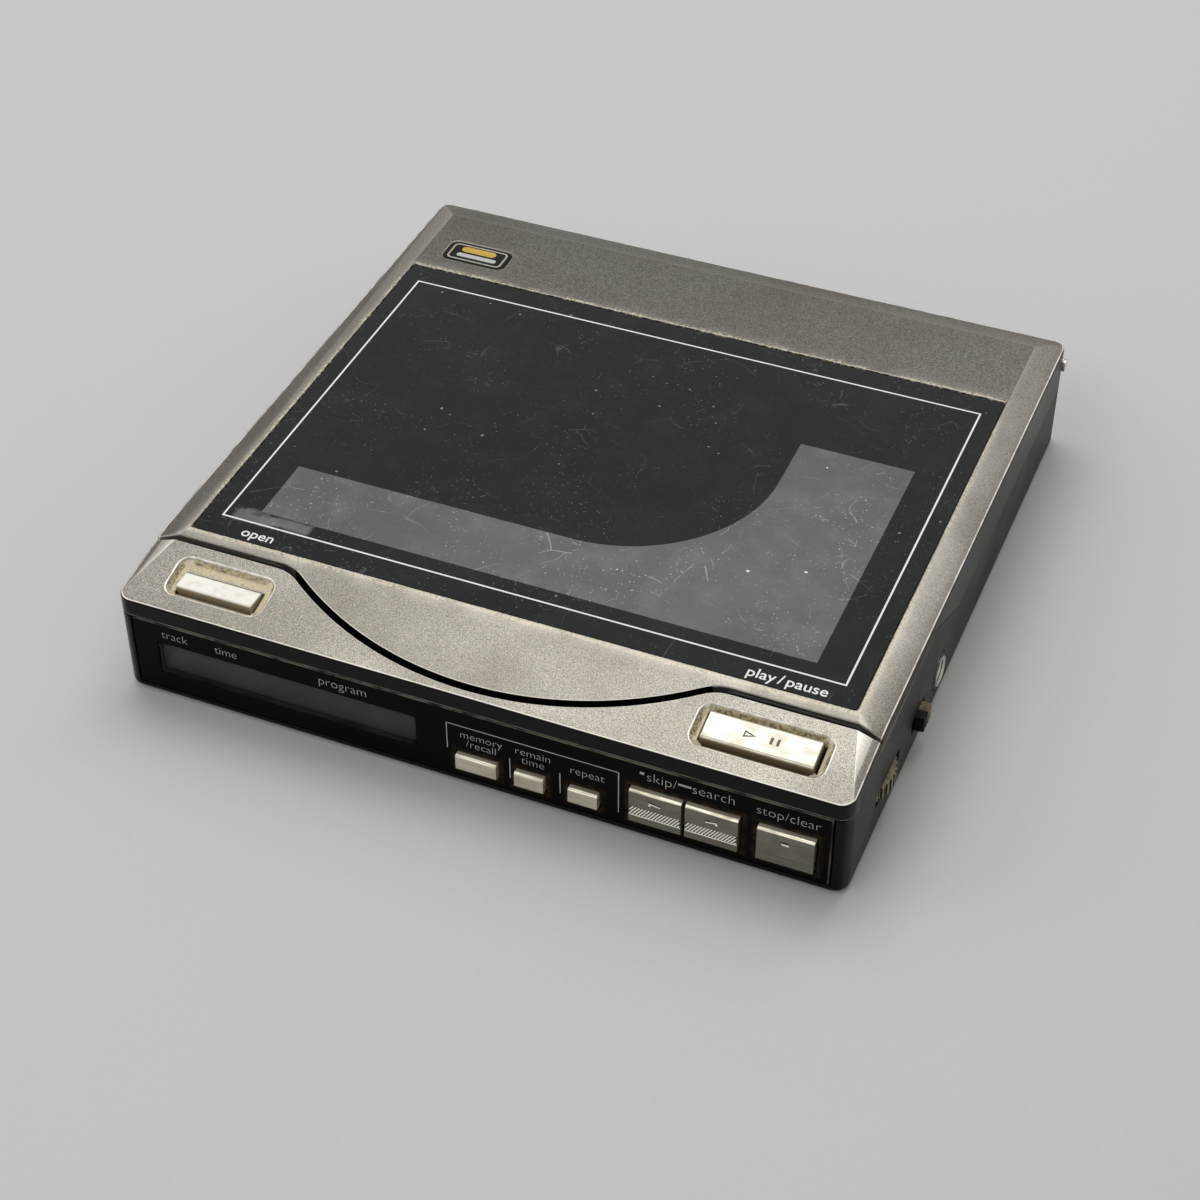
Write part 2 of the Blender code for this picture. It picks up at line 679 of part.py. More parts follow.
PANEL_HALF = HALF_WIDTH - POST_WIDTH - FIT_GAP
PANEL_BOTTOM = FLOOR_TOP + FIT_GAP
PANEL_TOP = BAND_BOTTOM - FIT_GAP
KEY_BOTTOM = FLOOR_TOP + KEY_BASE
SMALL_KEY_TOP = KEY_BOTTOM + SMALL_KEY_HEIGHT
LARGE_KEY_TOP = DECK_BOTTOM - FIT_GAP - KEY_LIP - KEY_CLEARANCE
STOP_RIGHT = PANEL_HALF - STOP_MARGIN
FORWARD_RIGHT = STOP_RIGHT - STOP_KEY_WIDTH - STOP_GAP
BACKWARD_RIGHT = FORWARD_RIGHT - SKIP_KEY_WIDTH - SKIP_GAP
REPEAT_RIGHT = BACKWARD_RIGHT - SKIP_KEY_WIDTH - SKIP_REPEAT_GAP
REMAIN_RIGHT = REPEAT_RIGHT - REPEAT_KEY_WIDTH - REPEAT_REMAIN_GAP
MEMORY_RIGHT = REMAIN_RIGHT - REMAIN_KEY_WIDTH - REMAIN_MEMORY_GAP
DISPLAY_RIGHT = MEMORY_RIGHT - MEMORY_KEY_WIDTH - DISPLAY_GAP
DISPLAY_LEFT = -PANEL_HALF + DISPLAY_MARGIN
DISPLAY_BOTTOM = FLOOR_TOP + DISPLAY_BASE
DISPLAY_TOP = DISPLAY_BOTTOM + DISPLAY_HEIGHT
FRONT_KEYS = {
    "memory_key": (MEMORY_RIGHT, MEMORY_KEY_WIDTH, SMALL_KEY_TOP),
    "remain_key": (REMAIN_RIGHT, REMAIN_KEY_WIDTH, SMALL_KEY_TOP),
    "repeat_key": (REPEAT_RIGHT, REPEAT_KEY_WIDTH, SMALL_KEY_TOP),
    "skip_back_key": (BACKWARD_RIGHT, SKIP_KEY_WIDTH, LARGE_KEY_TOP),
    "skip_forward_key": (FORWARD_RIGHT, SKIP_KEY_WIDTH, LARGE_KEY_TOP),
    "stop_key": (STOP_RIGHT, STOP_KEY_WIDTH, LARGE_KEY_TOP),
}

VOLUME_X = HALF_WIDTH + VOLUME_PROUD - VOLUME_RADIUS
VOLUME_Y = FRONT_FACE + VOLUME_FROM_FRONT
VOLUME_BOTTOM = FLOOR_TOP + VOLUME_RISE
VOLUME_TOP = VOLUME_BOTTOM + VOLUME_THICKNESS
SWITCH_Y = FRONT_FACE + SWITCH_FROM_FRONT
SWITCH_Z = FLOOR_TOP + SWITCH_RISE
JACK_Y = FRONT_FACE + JACK_FROM_FRONT
JACK_Z = FLOOR_TOP + JACK_RISE
REAR_JACK_Z = FLOOR_TOP + REAR_JACK_RISE
LINE_JACK_X = HALF_WIDTH - LINE_JACK_FROM_RIGHT
POWER_JACK_X = HALF_WIDTH - POWER_JACK_FROM_RIGHT
OPEN_PAN_X = -HALF_WIDTH + OPEN_PAN_FROM_LEFT
PLAY_PAN_X = HALF_WIDTH - PLAY_PAN_FROM_RIGHT
HOOK_X = -HALF_WIDTH + HOOK_FROM_LEFT
HOOK_Y = PARTING_Y + HOOK_SETBACK
POCKET_FLOOR = DECK_FLOOR + POCKET_FLOOR_RISE
POCKET_OUTER_X = HALF_WIDTH - POCKET_MARGIN
BOARD_BOTTOM = FLOOR_TOP + BOARD_STANDOFF
BOARD_TOP = BOARD_BOTTOM + BOARD_THICKNESS
BOARD_FRONT = PANEL_BACK + LCD_THICKNESS + DISPLAY_BOARD_THICKNESS + BOARD_FRONT_GAP + 2 * FIT_GAP
BOARD_REAR = JACK_Y - BOARD_SETBACK
CHASSIS_FRONT_Y = BOARD_REAR + BOARD_REAR_GAP
CHASSIS_RIGHT = LINE_JACK_X - REAR_JACK_HALF - CHASSIS_JACK_GAP
BOARD_HALF = HALF_WIDTH - BOARD_SIDE_MARGIN
ARM_LEFT = CHASSIS_RIGHT + BOARD_ARM_GAP
ARM_RIGHT = ARM_LEFT + BOARD_ARM_WIDTH
ARM_REAR = INNER_REAR - FIT_GAP - REAR_JACK_DEPTH - BOARD_JACK_GAP

SLED_TRAVEL = DISC_RADIUS - TRACK_MARGIN - LENS_REST_RADIUS
SLED_INNER = LENS_REST_RADIUS - SLED_INNER_REACH
SLED_OUTER = LENS_REST_RADIUS + SLED_OUTER_REACH
SLED_BOTTOM = CHASSIS_TOP + SLED_LIFT
SLED_TOP = SLED_BOTTOM + SLED_HEIGHT
TOWER_TOP = SLED_TOP + TOWER_HEIGHT
ROD_Z = CHASSIS_TOP + ROD_RISE
ROD_V = SLED_HALF_WIDTH - ROD_EDGE
INNER_LUG_END = SLED_INNER - LUG_CLEARANCE
INNER_LUG_START = INNER_LUG_END - LUG_LENGTH
OUTER_LUG_START = SLED_OUTER + SLED_TRAVEL + FIT_GAP
OUTER_LUG_END = OUTER_LUG_START + LUG_OUTER_LENGTH
RACK_ROOT = SLED_HALF_WIDTH + RACK_BACKING
RACK_TOOTH = TOOTH_HEIGHT_SHARE * RACK_MODULE
PINION_RADIUS = PINION_TEETH * RACK_MODULE / 2
WHEEL_RADIUS = WHEEL_TEETH * WHEEL_MODULE / 2
MOTOR_PINION_RADIUS = MOTOR_TEETH * WHEEL_MODULE / 2
PINION_U = SLED_OUTER - RACK_RUN_ON
PINION_V = -(RACK_ROOT + RACK_TOOTH / 2 + PINION_RADIUS + GEAR_PLAY)
GEAR_BOTTOM = CHASSIS_TOP + GEAR_LIFT
GEAR_TOP = GEAR_BOTTOM + GEAR_FACE
PINION_TOP = SLED_BOTTOM + RACK_THICKNESS
GEAR_AXIS = travel_frame() @ Vector((PINION_U, PINION_V, 0))
GEAR_REACH = WHEEL_RADIUS + MOTOR_PINION_RADIUS + GEAR_PLAY
FEED_AXIS = GEAR_AXIS + Vector((GEAR_REACH, 0, 0))
DAMPERS = [(-INNER_HALF_WIDTH + CHASSIS_EDGE_GAP + DAMPER_INSET, CHASSIS_FRONT_Y + DAMPER_INSET),
           (CHASSIS_RIGHT - DAMPER_INSET, CHASSIS_FRONT_Y + DAMPER_INSET),
           (CHASSIS_FRONT_Y, INNER_REAR - CHASSIS_EDGE_GAP - DAMPER_INSET)]


def seam_cutters(shop, name, offset, above):
    """Two cutters, one at each side, for what lies above or below the side seam."""
    far = HIGH if above else LOW
    points = seam_line(offset) + [(FRONT, far), (BACK, far)]
    right = shop.outline(name + " right", points, EAR_OUTER_X, WIDE, frame=side_frame())
    left = shop.outline(name + " left", points, -WIDE, -EAR_OUTER_X, frame=side_frame())
    return right, left


def upright(shop, name, x, y, radius, low, high, material=None, segments=SMALL_SEGMENTS):
    """An upright cylinder."""
    return shop.rod(name, (x, y, low), (x, y, high), radius, material, segments)


def hinge_rod(shop, name, start, end, radius, material=None):
    """A cylinder along the hinge axis between two X positions."""
    return shop.rod(name, (start, HINGE_Y, HINGE_Z), (end, HINGE_Y, HINGE_Z), radius, material)


def bottom_case(shop, look):
    """The tray under everything: floor, side and rear walls, hinge ears, pillars and openings."""
    case = form(shop, "bottom_case", 0.0, 0.0, FOOT_HEIGHT, look["case"], BOTTOM_EDGE_RADIUS)
    inner = CORNER_RADIUS - WALL
    carve(case, shop.pad("case inside", *place(-INNER_HALF_WIDTH, INNER_HALF_WIDTH, -INNER_REAR,
                                               INNER_REAR, FLOOR_TOP, HIGH), inner))
    carve(case, *seam_cutters(shop, "case seam", 0.0, True))
    past = EAR_OUTER_X + SINK
    carve(case, shop.box("rear wall top", *place(-past, past, INNER_REAR - SINK, BACK,
                                                 REAR_WALL_TOP, HIGH)))
    carve(case, shop.box("front wall top", *place(-past, past, FRONT, SINK - INNER_REAR,
                                                  PANEL_TOP, HIGH)))
    opening = HALF_WIDTH - POST_WIDTH
    carve(case, shop.box("panel opening", *place(-opening, opening, FRONT, SINK - INNER_REAR,
                                                 FLOOR_TOP, HIGH)))
    for side in (1, -1):
        near, far = sorted((side * EAR_INNER_X, side * EAR_OUTER_X))
        fuse(case, shop.box("ear web", *place(near, far, HINGE_Y - BARREL_RADIUS + BEVEL_FINE,
                                              HINGE_Y + BARREL_RADIUS - BEVEL_FINE,
                                              REAR_WALL_TOP - EAR_ROOT, HINGE_Z)))
        fuse(case, hinge_rod(shop, "ear round", near, far, BARREL_RADIUS))
        carve(case, hinge_rod(shop, "ear bore", near - SINK, far + SINK, PIN_RADIUS + FIT_GAP))
    for index, (x, y) in enumerate(PILLARS):
        tag = str(index)
        fuse(case, upright(shop, "pillar " + tag, x, y, PILLAR_RADIUS, FLOOR_TOP - SINK,
                           DECK_BOTTOM - FIT_GAP))
        carve(case, upright(shop, "head bore " + tag, x, y, SCREW_HEAD_RADIUS + FIT_GAP, LOW,
                            SCREW_HEAD_TOP + FIT_GAP))
        carve(case, upright(shop, "screw bore " + tag, x, y, SCREW_RADIUS + FIT_GAP, LOW,
                            SCREW_HEAD_TOP + SCREW_LENGTH + FIT_GAP))
    for index, (x, y) in enumerate(FEET):
        carve(case, upright(shop, "foot seat " + str(index), x, y, FOOT_RADIUS + FIT_GAP, LOW,
                            FOOT_HEIGHT + FOOT_RECESS))
    reach = BOARD_HALF - DAMPER_INSET
    for index, x in enumerate((-reach, 0.0, reach)):
        fuse(case, upright(shop, "standoff " + str(index), x, BOARD_REAR - DAMPER_INSET,
                           STANDOFF_RADIUS, FLOOR_TOP - SINK, BOARD_BOTTOM - FIT_GAP))
    wall = INNER_HALF_WIDTH - SINK
    carve(case, shop.box("wheel slot", *place(wall, WIDE, VOLUME_Y - VOLUME_SLOT_HALF,
                                              VOLUME_Y + VOLUME_SLOT_HALF,
                                              VOLUME_BOTTOM - FIT_GAP, VOLUME_TOP + FIT_GAP)))
    slot = (SWITCH_KNOB_LENGTH + SWITCH_TRAVEL) / 2 + FIT_GAP
    tall = SWITCH_KNOB_HEIGHT / 2 + FIT_GAP
    carve(case, shop.box("switch slot", *place(wall, WIDE, SWITCH_Y - slot, SWITCH_Y + slot,
                                               SWITCH_Z - tall, SWITCH_Z + tall)))
    carve(case, shop.rod("jack hole", (wall, JACK_Y, JACK_Z), (WIDE, JACK_Y, JACK_Z),
                         JACK_RING_RADIUS + FIT_GAP))
    for tag, x in (("line", LINE_JACK_X), ("power", POWER_JACK_X)):
        carve(case, shop.rod(tag + " hole", (x, INNER_REAR - SINK, REAR_JACK_Z),
                             (x, BACK, REAR_JACK_Z), REAR_NOSE_RADIUS + FIT_GAP))
    return case


def front_cover(shop, look):
    """The sloping cover in front of the lid, with two pans that the top keys stand in."""
    cover = form(shop, "front_cover", 0.0, 0.0, BAND_BOTTOM, look["cover"])
    carve(cover, form(shop, "cover inside", WALL, COVER_THICKNESS, LOW))
    rear = [(WIDE, BACK), (-WIDE, BACK)]
    carve(cover, shop.outline("behind the parting line", parting_line(PARTING_GAP) + rear,
                              LOW, HIGH))
    carve(cover, *seam_cutters(shop, "cover seam", FIT_GAP, False))
    pans = (("open", OPEN_PAN_X, OPEN_PAN_WIDTH, OPEN_PAN_DEPTH, OPEN_KEY_WIDTH, OPEN_KEY_DEPTH,
             OPEN_KEY_FORWARD),
            ("play", PLAY_PAN_X, PLAY_PAN_WIDTH, PLAY_PAN_DEPTH, PLAY_KEY_WIDTH, PLAY_KEY_DEPTH,
             0.0))
    for tag, x, width, depth, key_width, key_depth, forward in pans:
        frame = slope_frame(x, PAN_FROM_FRONT)
        carve(cover, shop.pad(tag + " pan", *place(-width / 2, width / 2, -depth / 2, depth / 2,
                                                   -PAN_DEPTH, PAN_DEPTH),
                              PAN_RADIUS, PAN_TAPER, frame=frame))
        across = key_width / 2 + TOP_KEY_CLEARANCE
        along = key_depth / 2 + TOP_KEY_CLEARANCE
        carve(cover, shop.box(tag + " key slot", *place(-across, across, -along - forward,
                                                        along - forward, -CUT_OVERRUN * 2,
                                                        SINK), frame=frame))
    return cover


def disc_deck(shop, look):
    """The tray round the disc, with its well, spindle hole, pickup slot and key pockets."""
    rear = INNER_REAR - FIT_GAP
    front = PANEL_BACK + FIT_GAP
    deck = shop.pad("disc_deck", *place(-EAR_OUTER_X, EAR_OUTER_X, front, rear, DECK_BOTTOM,
                                        RIM_TOP), DECK_CORNER_RADIUS, material=look["deck"])
    well = DISC_RADIUS + WELL_CLEARANCE
    carve(deck, upright(shop, "disc well", 0.0, DISC_Y, well, DECK_FLOOR, HIGH,
                        segments=WELL_SEGMENTS))
    clear = HINGE_Y - BARREL_RADIUS - 2 * FIT_GAP
    carve(deck, shop.box("rear rim", *place(-WIDE, WIDE, clear, BACK, DECK_FLOOR, HIGH)))
    hole = TURNTABLE_RADIUS + TURNTABLE_HOLE_CLEARANCE
    carve(deck, upright(shop, "spindle hole", 0.0, DISC_Y, hole, LOW, HIGH,
                        segments=ROUND_SEGMENTS))
    side = TOWER_HALF_WIDTH + SLOT_CLEARANCE
    reach = LENS_REST_RADIUS + TOWER_OUTER_REACH + SLED_TRAVEL + SLOT_CLEARANCE
    carve(deck, shop.box("pickup slot", *place(MOTOR_RADIUS, reach, -side, side,
                                               LOW, DISC_SEAT), frame=travel_frame()))
    pocket_front = FRONT_FACE + POCKET_SETBACK
    carve(deck, shop.box("play pocket", *place(POCKET_OUTER_X - PLAY_POCKET_WIDTH,
                                               POCKET_OUTER_X, pocket_front,
                                               FRONT_FACE + POCKET_REACH, POCKET_FLOOR, HIGH)))
    carve(deck, shop.box("latch pocket", *place(-POCKET_OUTER_X,
                                                LATCH_POCKET_WIDTH - POCKET_OUTER_X,
                                                pocket_front, FRONT_FACE + LATCH_POCKET_REACH,
                                                POCKET_FLOOR, HIGH)))
    across = HOOK_WIDTH / 2 + HOOK_WELL_MARGIN
    carve(deck, shop.box("hook well", *place(HOOK_X - across, HOOK_X + across,
                                             HOOK_Y - HOOK_NOSE - HOOK_WELL_MARGIN + FIT_GAP,
                                             FRONT_FACE + HOOK_WELL_BACK,
                                             DECK_FLOOR + HOOK_WELL_RISE, HIGH)))
    return deck


def front_panel(shop, look):
    """The gloss panel across the front, with the openings for the display and the keys."""
    panel = shop.box("front_panel", *place(-PANEL_HALF, PANEL_HALF, FRONT_FACE, PANEL_BACK,
                                           PANEL_BOTTOM, PANEL_TOP), look["panel"])
    past = PANEL_BACK + CUT_OVERRUN
    carve(panel, shop.box("display opening", *place(DISPLAY_LEFT, DISPLAY_RIGHT, FRONT, past,
                                                    DISPLAY_BOTTOM, DISPLAY_TOP)))
    holes = [FRONT_KEYS[name] for name in ("memory_key", "remain_key", "repeat_key", "stop_key")]
    pair = FORWARD_RIGHT - BACKWARD_RIGHT + SKIP_KEY_WIDTH
    holes.append((FORWARD_RIGHT, pair, LARGE_KEY_TOP))
    for index, (right, width, top) in enumerate(holes):
        carve(panel, shop.box("key opening " + str(index),
                              *place(right - width - KEY_CLEARANCE, right + KEY_CLEARANCE,
                                     FRONT, past, KEY_BOTTOM - KEY_CLEARANCE,
                                     top + KEY_CLEARANCE)))
    return panel


def display_pieces(shop, look):
    """The clear window in the panel, the liquid crystal behind it and the board behind both."""
    gap = DISPLAY_GAP_AROUND
    front = FRONT_FACE + DISPLAY_WINDOW_SINK
    window = shop.box("display_window", *place(DISPLAY_LEFT + gap, DISPLAY_RIGHT - gap, front,
                                               front + DISPLAY_WINDOW_THICKNESS,
                                               DISPLAY_BOTTOM + gap, DISPLAY_TOP - gap),
                      look["window"])
    near = PANEL_BACK + FIT_GAP
    far = near + LCD_THICKNESS
    crystal = shop.box("display_crystal", *place(DISPLAY_LEFT - DISPLAY_FRAME,
                                                 DISPLAY_RIGHT + DISPLAY_FRAME, near, far,
                                                 DISPLAY_BOTTOM - DISPLAY_FRAME,
                                                 DECK_BOTTOM - FIT_GAP), look["crystal"])
    side = INNER_HALF_WIDTH - DISPLAY_BOARD_SIDE_GAP
    board = shop.box("display_board", *place(-side, side, far + FIT_GAP,
                                             far + FIT_GAP + DISPLAY_BOARD_THICKNESS,
                                             PANEL_BOTTOM + FIT_GAP, DECK_BOTTOM - FIT_GAP),
                     look["board"])
    return window, crystal, board


def front_key(shop, look, name):
    """One key in the front panel, with a lip above and below that keeps it in its hole."""
    right, width, top = FRONT_KEYS[name]
    tip = FRONT_FACE - KEY_PROUD
    lip = PANEL_BACK + FIT_GAP
    end = lip + KEY_LIP_THICKNESS
    reach = KEY_CLEARANCE + KEY_LIP
    low, high = KEY_BOTTOM, top
    points = [(tip + KEY_EDGE, low), (lip, low), (lip, low - reach), (end, low - reach),
              (end, high + reach), (lip, high + reach), (lip, high), (tip + KEY_EDGE, high),
              (tip, high - KEY_EDGE), (tip, low + KEY_EDGE)]
    key = shop.outline(name, points, right - width, right, look["key"], side_frame())
    return pivot(key, (right - width / 2, tip, (low + high) / 2))


def top_key(shop, look, name, x, width, depth, forward, back_drop):
    """A key in one of the cover's pans, pressed along the normal of the slope."""
    half = depth / 2
    lip = half + TOP_KEY_CLEARANCE + TOP_KEY_LIP
    lip_top = -COVER_THICKNESS - FIT_GAP
    lip_bottom = lip_top - TOP_KEY_LIP_THICKNESS
    high = TOP_KEY_RISE
    edge = TOP_KEY_EDGE
    points = [(-lip, lip_bottom), (lip, lip_bottom), (lip, lip_top), (half, lip_top),
              (half, high - back_drop - edge), (half - edge, high - back_drop),
              (edge - half, high), (-half, high - edge), (-half, lip_top), (-lip, lip_top)]
    points = [(y - forward, z) for y, z in points]
    frame = slope_frame(x, PAN_FROM_FRONT)
    key = shop.outline(name, points, -width / 2, width / 2, look["key"], frame @ side_frame())
    return pivot(key, frame @ Vector((0, -forward, 0)))


def latch_slider(shop, look):
    """The plate under the open key that lets go of the hook on the lid."""
    rear = HOOK_Y - HOOK_NOSE - FIT_GAP
    bottom = POCKET_FLOOR + FIT_GAP
    latch = shop.box("latch_slider", *place(HOOK_X, HOOK_X + LATCH_WIDTH, rear - LATCH_LENGTH,
                                            rear, bottom, bottom + LATCH_THICKNESS),
                     look["acetal"])
    return pivot(latch, (HOOK_X + LATCH_WIDTH / 2, rear - LATCH_LENGTH / 2, bottom))


def boards(shop, look):
    """The main circuit board, an L that runs back beside the mechanism."""
    points = [(-BOARD_HALF, BOARD_FRONT), (BOARD_HALF, BOARD_FRONT), (BOARD_HALF, BOARD_REAR),
              (ARM_RIGHT, BOARD_REAR), (ARM_RIGHT, ARM_REAR), (ARM_LEFT, ARM_REAR),
              (ARM_LEFT, BOARD_REAR), (-BOARD_HALF, BOARD_REAR)]
    return shop.outline("main_board", points, BOARD_BOTTOM, BOARD_TOP, look["board"])


def mechanism_chassis(shop, look):
    """The plate that carries the motors, the guide rods and the feed gear."""
    left = -(INNER_HALF_WIDTH - CHASSIS_EDGE_GAP)
    rear = INNER_REAR - CHASSIS_EDGE_GAP
    notch = PILLAR_RADIUS + PILLAR_CLEARANCE
    points = [(left, CHASSIS_FRONT_Y), (CHASSIS_RIGHT, CHASSIS_FRONT_Y), (CHASSIS_RIGHT, rear),
              (notch - PILLAR_X, rear), (notch - PILLAR_X, PILLAR_REAR_Y - notch),
              (left, PILLAR_REAR_Y - notch)]
    plate = shop.outline("mechanism_chassis", points, CHASSIS_BOTTOM, CHASSIS_TOP, look["steel"])
    frame = travel_frame()
    for side in (1, -1):
        v = side * ROD_V
        near, far = v - LUG_WIDTH / 2, v + LUG_WIDTH / 2
        top = ROD_Z + LUG_WIDTH / 2
        for start, end in ((INNER_LUG_START, INNER_LUG_END), (OUTER_LUG_START, OUTER_LUG_END)):
            fuse(plate, shop.box("rod lug", *place(start, end, near, far, CHASSIS_TOP - SINK,
                                                   top), frame=frame))
        carve(plate, shop.rod("rod bore", frame @ Vector((INNER_LUG_START - SINK, v, ROD_Z)),
                              frame @ Vector((OUTER_LUG_END + SINK, v, ROD_Z)),
                              ROD_RADIUS + FIT_GAP))
    carve(plate, upright(shop, "feed motor hole", FEED_AXIS.x, FEED_AXIS.y,
                         FEED_MOTOR_RADIUS + FIT_GAP, LOW, HIGH, segments=ROUND_SEGMENTS))
    fuse(plate, upright(shop, "gear post", GEAR_AXIS.x, GEAR_AXIS.y, GEAR_POST_RADIUS,
                        CHASSIS_TOP - SINK, PINION_TOP + GEAR_POST_REACH))
    return plate


def dampers(shop, look):
    """Three soft posts that the mechanism floats on."""
    low, high = FLOOR_TOP + FIT_GAP, CHASSIS_BOTTOM - FIT_GAP
    quarter = (high - low) / 4
    waist = DAMPER_RADIUS - DAMPER_WAIST
    profile = [(0.0, high), (DAMPER_RADIUS, high), (waist, high - quarter),
               (waist, low + quarter), (DAMPER_RADIUS, low), (0.0, low)]
    return [shop.turned("damper_" + str(index + 1), profile, (x, y, 0.0), look["rubber"],
                        SMALL_SEGMENTS) for index, (x, y) in enumerate(DAMPERS)]


def spindle(shop, look):
    """The spindle motor and the turntable that runs on it."""
    low = CHASSIS_TOP + FIT_GAP
    high = DECK_BOTTOM - MOTOR_TOP_GAP
    cap = high - MOTOR_CAP_HEIGHT
    bore = SPINDLE_RADIUS + FIT_GAP
    profile = [(bore, high), (MOTOR_CAP_RADIUS, high), (MOTOR_CAP_RADIUS, cap),
               (MOTOR_RADIUS - BEVEL_FINE, cap), (MOTOR_RADIUS, cap - BEVEL_FINE),
               (MOTOR_RADIUS, low + BEVEL_FINE), (MOTOR_RADIUS - BEVEL_FINE, low), (bore, low)]
    centre = (0.0, DISC_Y, 0.0)
    motor = shop.turned("spindle_motor", profile, centre, look["steel"], closed=True)
    seat = DISC_SEAT
    hub = seat + HUB_HEIGHT
    foot = seat - TURNTABLE_THICKNESS
    profile = [(0.0, hub), (HUB_TIP_RADIUS, hub), (HUB_RADIUS, hub - HUB_TAPER),
               (HUB_RADIUS, seat), (TURNTABLE_RADIUS, seat), (TURNTABLE_RADIUS, foot),
               (SPINDLE_RADIUS, foot), (SPINDLE_RADIUS, foot - SPINDLE_LENGTH),
               (0.0, foot - SPINDLE_LENGTH)]
    return motor, shop.turned("turntable", profile, centre, look["acetal"])


def tooth_outline(centre, teeth, module, turn):
    """The outline of a gear with straight-sided teeth, one of them centred on the turn angle."""
    pitch = 2 * math.pi / teeth
    middle = teeth * module / 2
    reach = TOOTH_HEIGHT_SHARE * module / 2
    points = []
    for tooth in range(teeth):
        face = turn + tooth * pitch
        for radius, lean in ((middle - reach, -TOOTH_ROOT_SHARE),
                             (middle + reach, -TOOTH_TIP_SHARE),
                             (middle + reach, TOOTH_TIP_SHARE),
                             (middle - reach, TOOTH_ROOT_SHARE)):
            angle = face + lean * pitch / 2
            points.append((centre[0] + radius * math.cos(angle),
                           centre[1] + radius * math.sin(angle)))
    return points


def rack_outline():
    """The sled's toothed arm in the travel frame, with a gap facing the pinion's centre."""
    pitch = math.pi * RACK_MODULE
    start = PINION_U - SLED_TRAVEL - RACK_RUN_ON
    root = -RACK_ROOT
    tip = root - RACK_TOOTH
    points = [(start, SINK - SLED_HALF_WIDTH), (start, root)]
    first = math.ceil((start + pitch / 2 - PINION_U) / pitch)
    last = math.floor((SLED_OUTER - pitch / 2 - PINION_U) / pitch)
    for tooth in range(first, last):
        face = PINION_U + (tooth + 1 / 2) * pitch
        points += [(face - TOOTH_ROOT_SHARE * pitch / 2, root),
                   (face - TOOTH_TIP_SHARE * pitch / 2, tip),
                   (face + TOOTH_TIP_SHARE * pitch / 2, tip),
                   (face + TOOTH_ROOT_SHARE * pitch / 2, root)]
    end = SLED_OUTER - RACK_SETBACK
    return points + [(end, root), (end, SINK - SLED_HALF_WIDTH)]


def pickup(shop, look):
    """The sled with its toothed arm, the lens that it carries and the two rods that it runs on."""
    frame = travel_frame()
    sled = shop.box("pickup_sled", *place(SLED_INNER, SLED_OUTER, -SLED_HALF_WIDTH,
                                          SLED_HALF_WIDTH, SLED_BOTTOM, SLED_TOP),
                    look["diecast"], frame)
    fuse(sled, shop.box("lens tower", *place(LENS_REST_RADIUS - TOWER_INNER_REACH,
                                             LENS_REST_RADIUS + TOWER_OUTER_REACH,
                                             -TOWER_HALF_WIDTH, TOWER_HALF_WIDTH,
                                             SLED_TOP - SINK, TOWER_TOP), frame=frame))
    fuse(sled, shop.outline("toothed arm", rack_outline(), SLED_BOTTOM + RACK_SETBACK,
                            PINION_TOP, frame=frame))
    rods = []
    for side, name in ((1, "guide_rod_left"), (-1, "guide_rod_right")):
        v = side * ROD_V
        start = frame @ Vector((INNER_LUG_START, v, ROD_Z))
        end = frame @ Vector((OUTER_LUG_END, v, ROD_Z))
        carve(sled, shop.rod("sled bore", start, end, ROD_RADIUS + FIT_GAP))
        rods.append(shop.rod(name, start, end, ROD_RADIUS, look["steel"]))
    lens_at = frame @ Vector((LENS_REST_RADIUS, 0, 0))
    low = TOWER_TOP + LENS_CLEARANCE - LENS_HEIGHT
    carve(sled, upright(shop, "lens bore", lens_at.x, lens_at.y, LENS_RADIUS + LENS_CLEARANCE,
                        low - LENS_FOCUS - FIT_GAP, HIGH, segments=ROUND_SEGMENTS))
    pivot(sled, (lens_at.x, lens_at.y, ROD_Z))
    high = low + LENS_HEIGHT
    profile = [(0.0, high), (LENS_RADIUS / 2, high - LENS_DOME / 4),
               (LENS_RADIUS - LENS_DOME, high - LENS_DOME), (LENS_RADIUS, high - LENS_DOME * 2),
               (LENS_RADIUS, low), (0.0, low)]
    lens = shop.turned("objective_lens", profile, (lens_at.x, lens_at.y, 0.0), look["lens"])
    return sled, lens, rods


